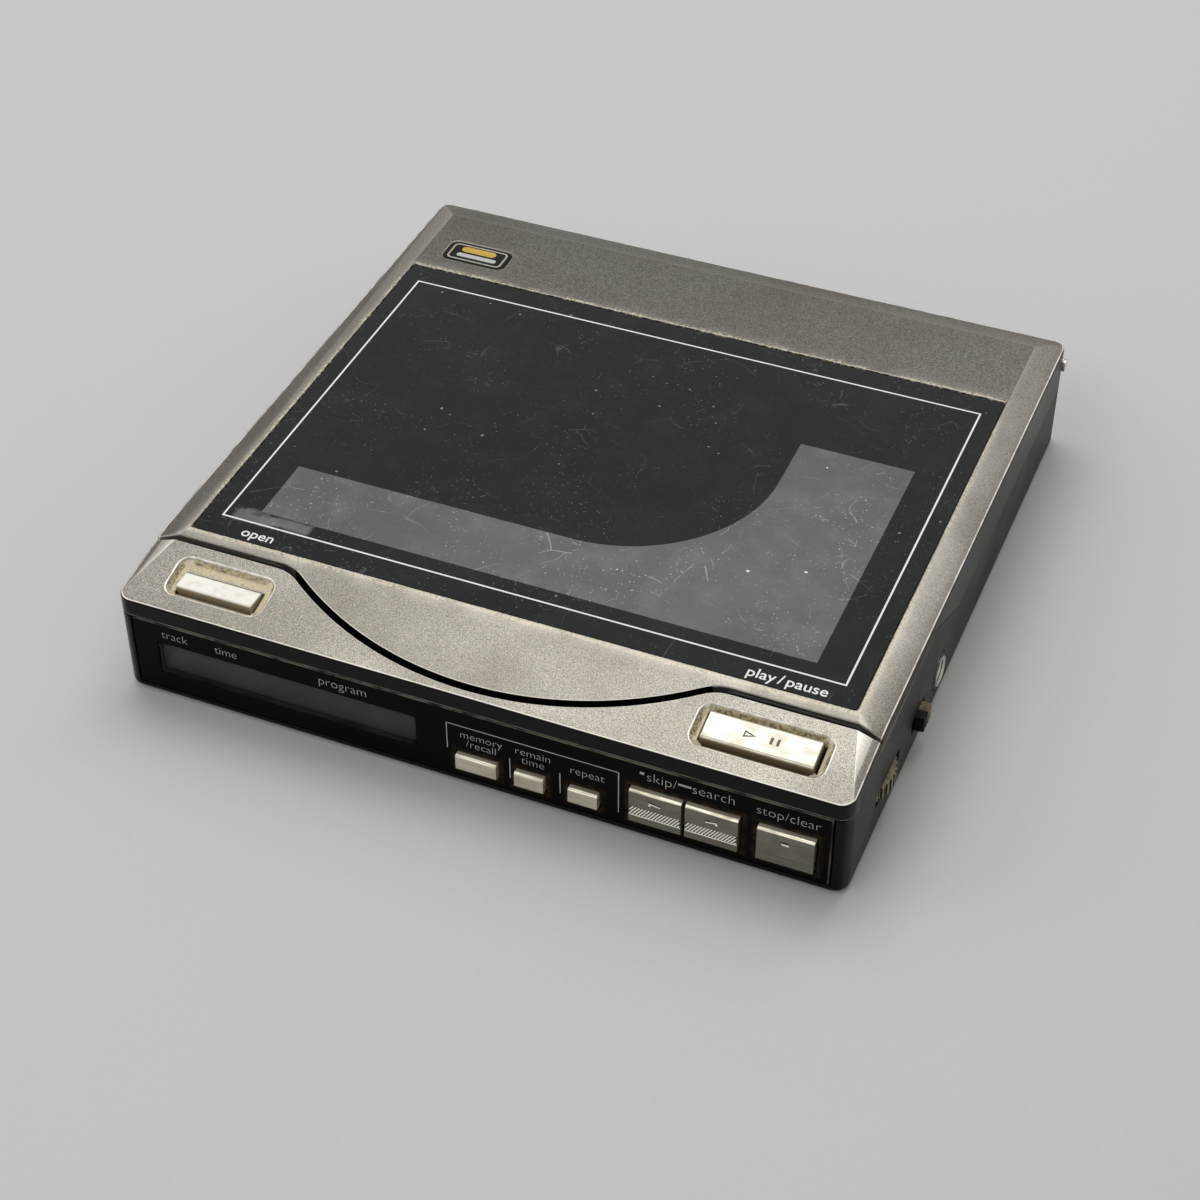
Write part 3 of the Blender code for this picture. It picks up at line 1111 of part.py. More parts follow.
def feed_drive(shop, look):
    """The compound gear between the sled and the feed motor, the motor and its pinion."""
    toward_rack = TRAVEL_ANGLE + math.pi / 2
    pinion = tooth_outline(GEAR_AXIS, PINION_TEETH, RACK_MODULE, toward_rack)
    gear = shop.outline("feed_gear", tooth_outline(GEAR_AXIS, WHEEL_TEETH, WHEEL_MODULE, 0.0),
                        GEAR_BOTTOM, GEAR_TOP, look["acetal"])
    fuse(gear, shop.outline("feed pinion", pinion, GEAR_TOP - SINK, PINION_TOP))
    carve(gear, upright(shop, "gear bore", GEAR_AXIS.x, GEAR_AXIS.y, GEAR_BORE_RADIUS, LOW, HIGH))
    pivot(gear, (GEAR_AXIS.x, GEAR_AXIS.y, GEAR_BOTTOM))
    top = GEAR_TOP - FIT_GAP / 2
    small = shop.outline("motor_pinion", tooth_outline(FEED_AXIS, MOTOR_TEETH, WHEEL_MODULE,
                                                       math.pi / MOTOR_TEETH),
                         GEAR_BOTTOM, GEAR_TOP, look["brass"])
    carve(small, upright(shop, "motor pinion bore", FEED_AXIS.x, FEED_AXIS.y,
                         FEED_SHAFT_RADIUS + FIT_GAP, LOW, HIGH))
    pivot(small, (FEED_AXIS.x, FEED_AXIS.y, GEAR_BOTTOM))
    face = CHASSIS_TOP
    foot = face - FEED_MOTOR_HEIGHT
    profile = [(0.0, top), (FEED_SHAFT_RADIUS, top), (FEED_SHAFT_RADIUS, face),
               (FEED_MOTOR_RADIUS, face), (FEED_MOTOR_RADIUS, foot), (0.0, foot)]
    motor = shop.turned("feed_motor", profile, (FEED_AXIS.x, FEED_AXIS.y, 0.0), look["steel"],
                        SMALL_SEGMENTS)
    return gear, small, motor


def lid_shell(shop, look):
    """The hinged lid: window frame, side skirts, hinge barrel, badge seat and catch hook."""
    base = SKIRT_Z - CUT_OVERRUN
    lid = form(shop, "lid_shell", 0.0, 0.0, base, look["cover"])
    carve(lid, form(shop, "lid inside", WALL, LID_THICKNESS, base - CUT_OVERRUN))
    ahead = [(WIDE, FRONT), (-WIDE, FRONT)]
    carve(lid, shop.outline("ahead of the parting line", parting_line(0.0) + ahead, LOW, HIGH))
    carve(lid, *seam_cutters(shop, "lid seam", FIT_GAP, False))
    carve(lid, shop.box("lid rear opening", *place(-INNER_HALF_WIDTH, INNER_HALF_WIDTH,
                                                   INNER_REAR - CORNER_RADIUS, BACK, LOW,
                                                   HINGE_Z)))
    barrel_end = EAR_INNER_X - FIT_GAP
    notch_top = HINGE_Z + BARREL_RADIUS + FIT_GAP
    fuse(lid, hinge_rod(shop, "lid barrel", -barrel_end, barrel_end, BARREL_RADIUS))
    for side in (1, -1):
        near, far = sorted((side * barrel_end, side * INNER_HALF_WIDTH))
        carve(lid, shop.box("ear notch", *place(near, far, INNER_REAR - CORNER_RADIUS, BACK, LOW,
                                                notch_top)))
        near, far = sorted((side * (barrel_end - EAR_WIDTH), side * WIDE))
        carve(lid, hinge_rod(shop, "pin bore", near, far, PIN_RADIUS + FIT_GAP))
    recess = WINDOW_HALF_WIDTH + INSET_GAP
    carve(lid, shop.pad("window seat", *place(-recess, recess, WINDOW_FRONT - INSET_GAP,
                                              WINDOW_REAR + INSET_GAP, WINDOW_BOTTOM - FIT_GAP,
                                              HIGH), WINDOW_CORNER_RADIUS))
    opening = WINDOW_HALF_WIDTH - WINDOW_LEDGE
    carve(lid, shop.box("window opening", *place(-opening, opening, WINDOW_FRONT + WINDOW_LEDGE,
                                                 WINDOW_REAR - WINDOW_LEDGE, LOW, HIGH)))
    x, y = badge_centre()
    half_x, half_y = BADGE_WIDTH / 2 + INSET_GAP, BADGE_DEPTH / 2 + INSET_GAP
    seat = BODY_HEIGHT - BADGE_SINK - BADGE_THICKNESS - FIT_GAP
    carve(lid, shop.pad("badge seat", *place(x - half_x, x + half_x, y - half_y, y + half_y,
                                             seat, HIGH), BADGE_RADIUS + INSET_GAP))
    across = HOOK_WIDTH / 2
    tip = DECK_FLOOR + HOOK_TIP_RISE
    fuse(lid, shop.box("hook arm", *place(HOOK_X - across, HOOK_X + across, HOOK_Y,
                                          HOOK_Y + HOOK_THICKNESS, tip, LID_UNDERSIDE + SINK)))
    fuse(lid, shop.box("hook nose", *place(HOOK_X - across, HOOK_X + across, HOOK_Y - HOOK_NOSE,
                                           HOOK_Y + SINK, tip, tip + HOOK_NOSE_HEIGHT)))
    return lid


def badge_centre():
    """Where the badge sits on the lid."""
    return -HALF_WIDTH + BADGE_FROM_LEFT, HALF_DEPTH - BADGE_FROM_REAR


def lid_pieces(shop, look):
    """What is fixed in the lid: the window, the badge and the inner plate with its view opening."""
    window = shop.pad("lid_window", *place(-WINDOW_HALF_WIDTH, WINDOW_HALF_WIDTH, WINDOW_FRONT,
                                           WINDOW_REAR, WINDOW_BOTTOM, WINDOW_TOP),
                      WINDOW_CORNER_RADIUS, material=look["window"])
    x, y = badge_centre()
    half_x, half_y = BADGE_WIDTH / 2, BADGE_DEPTH / 2
    top = BODY_HEIGHT - BADGE_SINK
    badge = shop.pad("lid_badge", *place(x - half_x, x + half_x, y - half_y, y + half_y,
                                         top - BADGE_THICKNESS, top), BADGE_RADIUS,
                     material=look["panel"])
    side = WINDOW_HALF_WIDTH - WINDOW_RIM_INNER
    plate = shop.pad("lid_inner_plate", *place(-side, side, WINDOW_FRONT + INNER_PLATE_SETBACK,
                                               WINDOW_REAR + INNER_PLATE_LAP,
                                               INNER_PLATE_BOTTOM, INNER_PLATE_TOP),
                     WINDOW_CORNER_RADIUS, material=look["deck"])
    hole = CLAMP_RADIUS + CLAMP_HOLE_CLEARANCE
    carve(plate, upright(shop, "clamp hole", 0.0, DISC_Y, hole, LOW, HIGH,
                         segments=ROUND_SEGMENTS))
    left, right = -HALF_WIDTH + VIEW_LEFT_MARGIN, HALF_WIDTH - VIEW_RIGHT_MARGIN
    near = FRONT_FACE + VIEW_FRONT_MARGIN
    radius = VIEW_CLAMP_REACH_X + VIEW_EASE
    start = -math.acos(VIEW_CLAMP_REACH_X / radius)
    end = -math.asin(VIEW_CLAMP_REACH_Y / radius)
    bend = arc((0.0, DISC_Y), radius, start, end, VIEW_ARC_STEPS)
    points = [(left, near), (right, near), (right, near + VIEW_DEPTH),
              (VIEW_CLAMP_REACH_X, near + VIEW_DEPTH)] + bend + [(left, bend[-1][1])]
    carve(plate, shop.outline("view opening", points, LOW, HIGH))
    return window, badge, plate


def disc_clamp(shop, look):
    """The loose puck in the lid that presses the disc on the turntable."""
    flange = LID_UNDERSIDE
    top = flange + CLAMP_FLANGE_THICKNESS
    low = DISC_TOP + FIT_GAP
    recess = low + CLAMP_RECESS_DEPTH
    profile = [(0.0, top), (CLAMP_FLANGE_RADIUS, top), (CLAMP_FLANGE_RADIUS, flange),
               (CLAMP_RADIUS, flange), (CLAMP_RADIUS, low), (CLAMP_RECESS_RADIUS, low),
               (CLAMP_RECESS_RADIUS, recess), (0.0, recess)]
    return shop.turned("disc_clamp", profile, (0.0, DISC_Y, 0.0), look["acetal"])


def hinge_pins(shop, look):
    """The two pins on which the lid turns, with their heads outside the skirts."""
    made = []
    for side, name in ((-1, "hinge_pin_left"), (1, "hinge_pin_right")):
        start = side * (EAR_INNER_X - EAR_WIDTH / 2)
        end = side * (HALF_WIDTH + PIN_HEAD_GAP)
        pin = hinge_rod(shop, name, min(start, end), max(start, end), PIN_RADIUS, look["steel"])
        head = end + side * PIN_HEAD_HEIGHT
        inner = end - side * PIN_HEAD_GAP
        fuse(pin, hinge_rod(shop, name + " head", min(inner, head), max(inner, head),
                            PIN_HEAD_RADIUS))
        made.append(pin)
    return made


def volume_control(shop, look):
    """The knurled volume wheel and the control that it turns."""
    step = 2 * math.pi / VOLUME_RIDGES
    deep = VOLUME_RADIUS - VOLUME_RIDGE_DEPTH
    points = []
    for ridge in range(VOLUME_RIDGES):
        for share, radius in ((0.0, VOLUME_RADIUS), (0.45, VOLUME_RADIUS), (0.6, deep),
                              (0.85, deep)):
            angle = (ridge + share) * step
            points.append((VOLUME_X + radius * math.cos(angle),
                           VOLUME_Y + radius * math.sin(angle)))
    wheel = shop.outline("volume_wheel", points, VOLUME_BOTTOM, VOLUME_TOP, look["key_black"])
    carve(wheel, upright(shop, "wheel bore", VOLUME_X, VOLUME_Y, VOLUME_AXLE_RADIUS + FIT_GAP,
                         LOW, HIGH))
    pivot(wheel, (VOLUME_X, VOLUME_Y, VOLUME_BOTTOM))
    low, high = BOARD_TOP + FIT_GAP, VOLUME_BOTTOM - FIT_GAP
    tip = VOLUME_TOP + VOLUME_AXLE_REACH
    profile = [(0.0, tip), (VOLUME_AXLE_RADIUS, tip), (VOLUME_AXLE_RADIUS, high),
               (POT_RADIUS, high), (POT_RADIUS, low), (0.0, low)]
    return wheel, shop.turned("volume_control", profile, (VOLUME_X, VOLUME_Y, 0.0),
                              look["steel"], SMALL_SEGMENTS)


def mode_switch(shop, look):
    """The slide switch knob in the right wall and the switch behind it."""
    outer = HALF_WIDTH + SWITCH_PROUD
    inner = EAR_OUTER_X - SWITCH_FLANGE
    half = SWITCH_KNOB_LENGTH / 2
    step = SWITCH_KNOB_LENGTH / SWITCH_RIDGES
    points = [(inner, SWITCH_Y + half), (inner, SWITCH_Y - half)]
    for ridge in range(SWITCH_RIDGES):
        start = SWITCH_Y - half + ridge * step
        points += [(outer - SWITCH_RIDGE_DEPTH, start + step / 8), (outer, start + step / 4),
                   (outer, start + step * 3 / 4),
                   (outer - SWITCH_RIDGE_DEPTH, start + step * 7 / 8)]
    tall = SWITCH_KNOB_HEIGHT / 2
    knob = shop.outline("mode_switch_knob", points, SWITCH_Z - tall, SWITCH_Z + tall,
                        look["key_black"])
    flange = tall + SWITCH_FLANGE_LIP
    fuse(knob, shop.box("knob flange", *place(inner, EAR_OUTER_X, SWITCH_Y - half,
                                              SWITCH_Y + half, SWITCH_Z - flange,
                                              SWITCH_Z + flange)))
    pivot(knob, (outer, SWITCH_Y, SWITCH_Z))
    length = SWITCH_BODY_LENGTH / 2
    body = shop.box("mode_switch", *place(inner - FIT_GAP - SWITCH_BODY_DEPTH, inner - FIT_GAP,
                                          SWITCH_Y - length, SWITCH_Y + length,
                                          SWITCH_Z - flange, SWITCH_Z + flange), look["steel"])
    return knob, body


def headphone_socket(shop, look):
    """The headphone socket in the right wall and the bright ring round its mouth."""
    mouth = HALF_WIDTH
    face = EAR_OUTER_X
    back = HALF_WIDTH - JACK_BODY_LENGTH
    half = JACK_BODY_HALF
    body = shop.box("headphone_jack", *place(back, face, JACK_Y - half, JACK_Y + half,
                                             JACK_Z - half, JACK_Z + half), look["jack"])
    fuse(body, shop.rod("jack mouth", (face - SINK, JACK_Y, JACK_Z), (mouth, JACK_Y, JACK_Z),
                        JACK_BARREL_RADIUS))
    carve(body, shop.rod("jack bore", (mouth - JACK_BORE_DEPTH, JACK_Y, JACK_Z),
                         (WIDE, JACK_Y, JACK_Z), JACK_BORE_RADIUS))
    ring = shop.rod("headphone_ring", (face + FIT_GAP, JACK_Y, JACK_Z),
                    (mouth + JACK_RING_PROUD, JACK_Y, JACK_Z), JACK_RING_RADIUS, look["chrome"],
                    ROUND_SEGMENTS)
    carve(ring, shop.rod("ring bore", (face, JACK_Y, JACK_Z), (WIDE, JACK_Y, JACK_Z),
                         JACK_BARREL_RADIUS + FIT_GAP, segments=ROUND_SEGMENTS))
    return body, ring


def rear_socket(shop, look, name, x, bore, pin):
    """A socket in the rear wall, with a centre pin when a radius is given for it."""
    face = INNER_REAR - FIT_GAP
    half = REAR_JACK_HALF
    body = shop.box(name, *place(x - half, x + half, face - REAR_JACK_DEPTH, face,
                                 REAR_JACK_Z - half, REAR_JACK_Z + half), look["jack"])
    fuse(body, shop.rod(name + " nose", (x, face - SINK, REAR_JACK_Z),
                        (x, HALF_DEPTH, REAR_JACK_Z), REAR_NOSE_RADIUS))
    bottom = HALF_DEPTH - REAR_BORE_DEPTH
    carve(body, shop.rod(name + " bore", (x, bottom, REAR_JACK_Z), (x, BACK, REAR_JACK_Z), bore))
    if pin:
        fuse(body, shop.rod(name + " pin", (x, bottom - SINK, REAR_JACK_Z),
                            (x, HALF_DEPTH - POWER_PIN_SETBACK, REAR_JACK_Z), pin))
    return body


def feet_and_screws(shop, look):
    """Four rubber feet and the four screws that close the case."""
    made = []
    top = FOOT_HEIGHT + FOOT_SEAT
    for index, (x, y) in enumerate(FEET):
        profile = [(0.0, top), (FOOT_RADIUS, top), (FOOT_RADIUS, FOOT_SEAT / 2),
                   (FOOT_RADIUS - FOOT_SEAT, 0.0), (0.0, 0.0)]
        made.append(shop.turned("foot_" + str(index + 1), profile, (x, y, 0.0), look["rubber"],
                                SMALL_SEGMENTS))
    for index, (x, y) in enumerate(PILLARS):
        low, high = SCREW_HEAD_BOTTOM, SCREW_HEAD_TOP
        profile = [(0.0, high + SCREW_LENGTH), (SCREW_RADIUS, high + SCREW_LENGTH),
                   (SCREW_RADIUS, high), (SCREW_HEAD_RADIUS, high), (SCREW_HEAD_RADIUS, low),
                   (0.0, low)]
        screw = shop.turned("case_screw_" + str(index + 1), profile, (x, y, 0.0), look["steel"],
                            SMALL_SEGMENTS)
        long, short = SCREW_HEAD_RADIUS * 3 / 4, SCREW_SLOT_WIDTH / 2
        deep = low + SCREW_SLOT_DEPTH
        carve(screw, shop.box("slot across " + str(index), *place(x - long, x + long, y - short,
                                                                   y + short, LOW, deep)))
        carve(screw, shop.box("slot along " + str(index), *place(x - short, x + short, y - long,
                                                                 y + long, LOW, deep)))
        made.append(screw)
    return made


def hang(children, name, point, shop):
    """Parent pieces to an empty that marks their joint's axis."""
    axis = bpy.data.objects.new(name, None)
    axis.location = point
    shop.parts.objects.link(axis)
    bpy.context.view_layer.update()
    for child in children:
        child.parent = axis
        child.matrix_parent_inverse = axis.matrix_world.inverted()
    return axis


def main():
    """Build every piece."""
    shop = Workshop()
    look = {
        "case": finish("dark grey moulded plastic", 58, 60, 58, 0.55),
        "cover": finish("warm grey metallic paint", 140, 135, 127, 0.4, 0.4),
        "deck": finish("grey satin plastic", 88, 90, 90, 0.5),
        "panel": finish("black gloss plastic", 12, 13, 14, 0.18),
        "window": finish("smoked acrylic", 38, 42, 44, 0.12),
        "crystal": finish("liquid crystal glass", 58, 64, 56, 0.2),
        "key": finish("champagne silver paint", 190, 183, 165, 0.35, 0.5),
        "key_black": finish("black satin plastic", 24, 24, 24, 0.45),
        "board": finish("green circuit board", 30, 82, 54, 0.5),
        "steel": finish("plated steel", 168, 168, 166, 0.32, 0.9),
        "chrome": finish("bright chrome", 205, 205, 205, 0.15, 1.0),
        "diecast": finish("die cast zinc", 150, 152, 155, 0.45, 0.7),
        "acetal": finish("white acetal", 222, 220, 212, 0.45),
        "brass": finish("turned brass", 196, 160, 92, 0.3, 1.0),
        "lens": finish("coated lens", 58, 66, 110, 0.06),
        "jack": finish("black socket plastic", 20, 20, 21, 0.5),
        "rubber": finish("black rubber", 28, 28, 28, 0.8),
    }
    bottom_case(shop, look)
    front_cover(shop, look)
    disc_deck(shop, look)
    front_panel(shop, look)
    display_pieces(shop, look)
    for name in FRONT_KEYS:
        front_key(shop, look, name)
    top_key(shop, look, "open_key", OPEN_PAN_X, OPEN_KEY_WIDTH, OPEN_KEY_DEPTH,
            OPEN_KEY_FORWARD, OPEN_KEY_BACK_DROP)
    top_key(shop, look, "play_key", PLAY_PAN_X, PLAY_KEY_WIDTH, PLAY_KEY_DEPTH, 0.0, 0.0)
    latch_slider(shop, look)
    boards(shop, look)
    mechanism_chassis(shop, look)
    dampers(shop, look)
    spindle(shop, look)
    pickup(shop, look)
    feed_drive(shop, look)
    lid = [lid_shell(shop, look), *lid_pieces(shop, look), disc_clamp(shop, look)]
    hang(lid, "lid_hinge_axis", (0.0, HINGE_Y, HINGE_Z), shop)
    hinge_pins(shop, look)
    volume_control(shop, look)
    mode_switch(shop, look)
    headphone_socket(shop, look)
    rear_socket(shop, look, "line_out_jack", LINE_JACK_X, JACK_BORE_RADIUS, 0.0)
    rear_socket(shop, look, "power_jack", POWER_JACK_X, POWER_BORE_RADIUS, POWER_PIN_RADIUS)
    feet_and_screws(shop, look)


main()
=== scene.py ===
"""Looks of a portable disc player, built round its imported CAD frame.

Sizes are written in millimetres in the frame's own axes: x to the right, y to the rear and z up.
MM turns them into the metres that the frame uses. Every sub-assembly is a class whose sizes are
its fields, and every finish says what the real surface is.
"""

from __future__ import annotations

import json
import logging
import math
from collections.abc import Callable, Iterator
from dataclasses import dataclass, field
from enum import Enum
from typing import NamedTuple

import bmesh
import bpy
import numpy as np
from mathutils import Matrix, Vector

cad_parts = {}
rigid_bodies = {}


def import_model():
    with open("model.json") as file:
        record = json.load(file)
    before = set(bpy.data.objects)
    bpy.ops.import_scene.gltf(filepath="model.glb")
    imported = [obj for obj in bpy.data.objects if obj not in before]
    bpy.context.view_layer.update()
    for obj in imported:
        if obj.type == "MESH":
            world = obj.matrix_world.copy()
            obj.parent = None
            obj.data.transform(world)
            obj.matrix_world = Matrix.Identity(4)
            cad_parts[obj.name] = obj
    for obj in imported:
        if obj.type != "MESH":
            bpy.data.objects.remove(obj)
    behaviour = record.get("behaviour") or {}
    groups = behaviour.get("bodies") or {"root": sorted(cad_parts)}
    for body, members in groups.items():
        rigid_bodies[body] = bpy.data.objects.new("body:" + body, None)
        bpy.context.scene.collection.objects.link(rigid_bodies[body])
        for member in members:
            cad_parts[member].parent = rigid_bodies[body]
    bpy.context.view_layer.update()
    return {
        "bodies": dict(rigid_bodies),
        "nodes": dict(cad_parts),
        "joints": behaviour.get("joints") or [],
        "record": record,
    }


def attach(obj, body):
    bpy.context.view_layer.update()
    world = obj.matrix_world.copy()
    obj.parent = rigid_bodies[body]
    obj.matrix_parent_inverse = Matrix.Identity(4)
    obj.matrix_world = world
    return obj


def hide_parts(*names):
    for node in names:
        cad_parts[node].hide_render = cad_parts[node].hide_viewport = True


MM = 0.001
FAR = 1000.0  # millimetres, past every piece
SUNK = -0.01  # how far printing is sunk in its surface, in millimetres
PROUD = 0.012  # how far it stands proud
LOG = logging.getLogger("disc_player")

Socket = bpy.types.NodeSocket
Tree = bpy.types.NodeTree
Triple = tuple[float, float, float]
Sides = tuple[float, float, float, float]
Layer = tuple[Socket, str]


class Rider(str, Enum):
    """The bodies of the frame that new pieces ride on."""

    BASE = "base"
    LID = "lid"
    TURNTABLE = "turntable"
    CLAMP = "clamp"
    LENS = "lens"
    OPEN_KEY = "open_key"
    PLAY_KEY = "play_key"
    MEMORY_KEY = "memory_key"
    REMAIN_KEY = "remain_key"
    REPEAT_KEY = "repeat_key"
    SKIP_BACK_KEY = "skip_back_key"
    SKIP_FORWARD_KEY = "skip_forward_key"
    STOP_KEY = "stop_key"
    WHEEL = "volume_wheel"


class Rounding(str, Enum):
    """Which edges of a copied CAD node are rounded."""

    ALL = "every sharp convex edge"
    UPPER = "the edges of faces that look up"
    OUTER = "the edges of the outer walls"
    LEVEL = "the edges of faces that look up or down"


# ---------------------------------------------------------------------------------------------
# Shader nodes
# ---------------------------------------------------------------------------------------------


def linear(hex_colour: str) -> tuple[float, float, float, float]:
    """Turn an sRGB hex colour into linear light.

    Args:
        hex_colour: six hex digits after a hash.

    Returns:
        Red, green, blue and an alpha of one.
    """
    channels = [int(hex_colour[place:place + 2], 16) / 255 for place in (1, 3, 5)]
    light = [c / 12.92 if c <= 0.04045 else ((c + 0.055) / 1.055) ** 2.4 for c in channels]
    return light[0], light[1], light[2], 1.0


def add(tree: Tree, kind: str, feeds: dict | None = None, **settings) -> bpy.types.Node:
    """Add one node with its settings and what feeds its sockets.

    Args:
        tree: the material's or world's nodes.
        kind: the node's type name.
        feeds: for a socket's name or number, an output socket to link or a value to set.
        **settings: the node's own properties.

    Returns:
        The new node.
    """
    made = tree.nodes.new(kind)
    for name, value in settings.items():
        setattr(made, name, value)
    for name, value in (feeds or {}).items():
        socket = made.inputs[name]
        if isinstance(value, Socket):
            tree.links.new(value, socket)
        else:
            socket.default_value = value
    return made


def in_metres(sizes: Triple) -> Triple:
    """Turn three sizes in millimetres into metres."""
    return sizes[0] * MM, sizes[1] * MM, sizes[2] * MM


class Box(NamedTuple):
    """A box in millimetres, and the distance outside it over which a pattern fades."""

    centre: Triple
    half: Triple
    fade: float


class Patches(NamedTuple):
    """Patches of a size in millimetres, whose share rises where a noise passes two values."""

    size: float | Triple
    detail: float
    low: float
    high: float
    least: float = 0.0
    most: float = 1.0


class Scratches(NamedTuple):
    """Hair scratches: their cell and width in millimetres, the noise that keeps them, a share."""

    cell: float
    width: float
    kept: float
    share: float


@dataclass
class Brush:
    """Adds patterns to one material's nodes; the place is the Object coordinates in metres."""

    tree: Tree
    place: Socket

    def vector(self, operation: str, first: Socket,
               second: Socket | Triple | None = None) -> Socket:
        """Work out one step of vector arithmetic.

        Args:
            operation: the node's operation.
            first, second: what it works on.

        Returns:
            The vector, or the number that a length or a dot product gives.
        """
        feeds = {0: first} if second is None else {0: first, 1: second}
        made = add(self.tree, "ShaderNodeVectorMath", feeds, operation=operation)
        return made.outputs["Value" if operation in ("LENGTH", "DOT_PRODUCT") else "Vector"]

    def axes(self, vector: Socket) -> list[Socket]:
        """Take a vector's three parts."""
        return list(add(self.tree, "ShaderNodeSeparateXYZ", {0: vector}).outputs)

    def combine(self, operation: str, *parts: Socket | float) -> Socket:
        """Combine numbers by one operation, from the first to the last.

        Args:
            operation: the node's operation.
            *parts: the numbers.

        Returns:
            The result.
        """
        total = parts[0]
        for part in parts[1:]:
            total = add(self.tree, "ShaderNodeMath", {0: total, 1: part},
                        operation=operation).outputs[0]
        return total

    def times(self, *parts: Socket | float) -> Socket:
        """Multiply numbers."""
        return self.combine("MULTIPLY", *parts)

    def largest(self, *parts: Socket | float) -> Socket:
        """Take the largest of some numbers."""
        return self.combine("MAXIMUM", *parts)

    def between(self, value: Socket, low: float, high: float, start: float = 0.0,
                end: float = 1.0) -> Socket:
        """Map a value from low..high to start..end, held at the ends.

        Args:
            value: the value.
            low, high: where it starts and stops counting.
            start, end: what it becomes there.

        Returns:
            The new value.
        """
        return add(self.tree, "ShaderNodeMapRange",
                   {0: value, 1: low, 2: high, 3: start, 4: end},
                   interpolation_type="SMOOTHSTEP").outputs[0]

    def mix(self, share: Socket | float, first: Socket | str, second: str) -> Socket:
        """Mix a second colour into a first by a share.

        Args:
            share: how much of the second shows.
            first: the colour so far, or a hex colour.
            second: a hex colour.

        Returns:
            The mixed colour.
        """
        start = linear(first) if isinstance(first, str) else first
        return add(self.tree, "ShaderNodeMix", {0: share, 6: start, 7: linear(second)},
                   data_type="RGBA").outputs[2]

    def noise(self, size: float | Triple, detail: float = 2.0,
              turn: Triple = (0.0, 0.0, 0.0)) -> Socket:
        """A noise, about 0.5 on average, whose blobs have a real size.

        Args:
            size: the blobs' size, or one along each axis, in millimetres.
            detail: the octaves added to the first.
            turn: the pattern's turn about x, y and z in radians.

        Returns:
            The noise.
        """
        sizes = size if isinstance(size, tuple) else (size, size, size)
        turned = add(self.tree, "ShaderNodeMapping", {"Vector": self.place, "Rotation": turn},
                     vector_type="POINT").outputs[0]
        spread = self.vector("MULTIPLY", turned, tuple(1 / (side * MM) for side in sizes))
        return add(self.tree, "ShaderNodeTexNoise",
                   {"Vector": spread, "Scale": 1.0, "Detail": detail,
                    "Roughness": 0.55}).outputs[0]

    def patches(self, of: Patches) -> Socket:
        """A share that changes from place to place in patches."""
        return self.between(self.noise(of.size, of.detail), of.low, of.high, of.least, of.most)

    def facing_up(self) -> Socket:
        """How far a face looks up, which is its true normal's height."""
        return self.axes(add(self.tree, "ShaderNodeNewGeometry").outputs["True Normal"])[2]

    def inside(self, box: Box) -> Socket:
        """One inside a box, falling to nought over its fade.

        The distance is the largest of |p - centre| - half over the three axes.

        Args:
            box: the box.

        Returns:
            The share.
        """
        away = self.vector("SUBTRACT", self.place, in_metres(box.centre))
        out = self.vector("SUBTRACT", self.vector("ABSOLUTE", away), in_metres(box.half))
        return self.between(self.largest(*self.axes(out)), 0.0, box.fade * MM, 1.0, 0.0)

    def beyond(self, centre: Triple, core: Triple) -> Socket:
        """The distance outside a box, length(max(|p - centre| - core, 0)).

        Args:
            centre, core: the box's middle and half sizes in millimetres.

        Returns:
            The distance in metres.
        """
        away = self.vector("SUBTRACT", self.place, in_metres(centre))
        past = self.vector("SUBTRACT", self.vector("ABSOLUTE", away), in_metres(core))
        return self.vector("LENGTH", self.vector("MAXIMUM", past, (0.0, 0.0, 0.0)))

    def scratches(self, of: Scratches) -> Socket:
        """Hair scratches that lie in all directions.

        They run where the distance to a cell's border is less than their width. The cells are
        bent by a noise, and a second noise keeps only short lengths of the borders.

        Args:
            of: the scratches' sizes. A cell is about a scratch's greatest length.

        Returns:
            One in a scratch and nought elsewhere.
        """
        bend = self.noise(of.cell * 0.7, 1.0, (0.0, 0.0, of.cell))
        push = self.vector("MULTIPLY", bend, (of.cell * 0.5 * MM,) * 3)
        moved = self.vector("ADD", self.place, push)
        scaled = self.vector("MULTIPLY", moved, (1 / (of.cell * MM),) * 3)
        cells = add(self.tree, "ShaderNodeTexVoronoi", {"Vector": scaled, "Scale": 1.0},
                    feature="DISTANCE_TO_EDGE")
        line = self.between(cells.outputs["Distance"], 0.0, of.width / of.cell, 1.0, 0.0)
        length = self.noise(of.cell * 0.3, 1.0, (0.0, 0.0, -of.cell))
        return self.times(line, self.between(length, of.kept, of.kept + 0.05))


# ---------------------------------------------------------------------------------------------
# Kinds of finish
# ---------------------------------------------------------------------------------------------


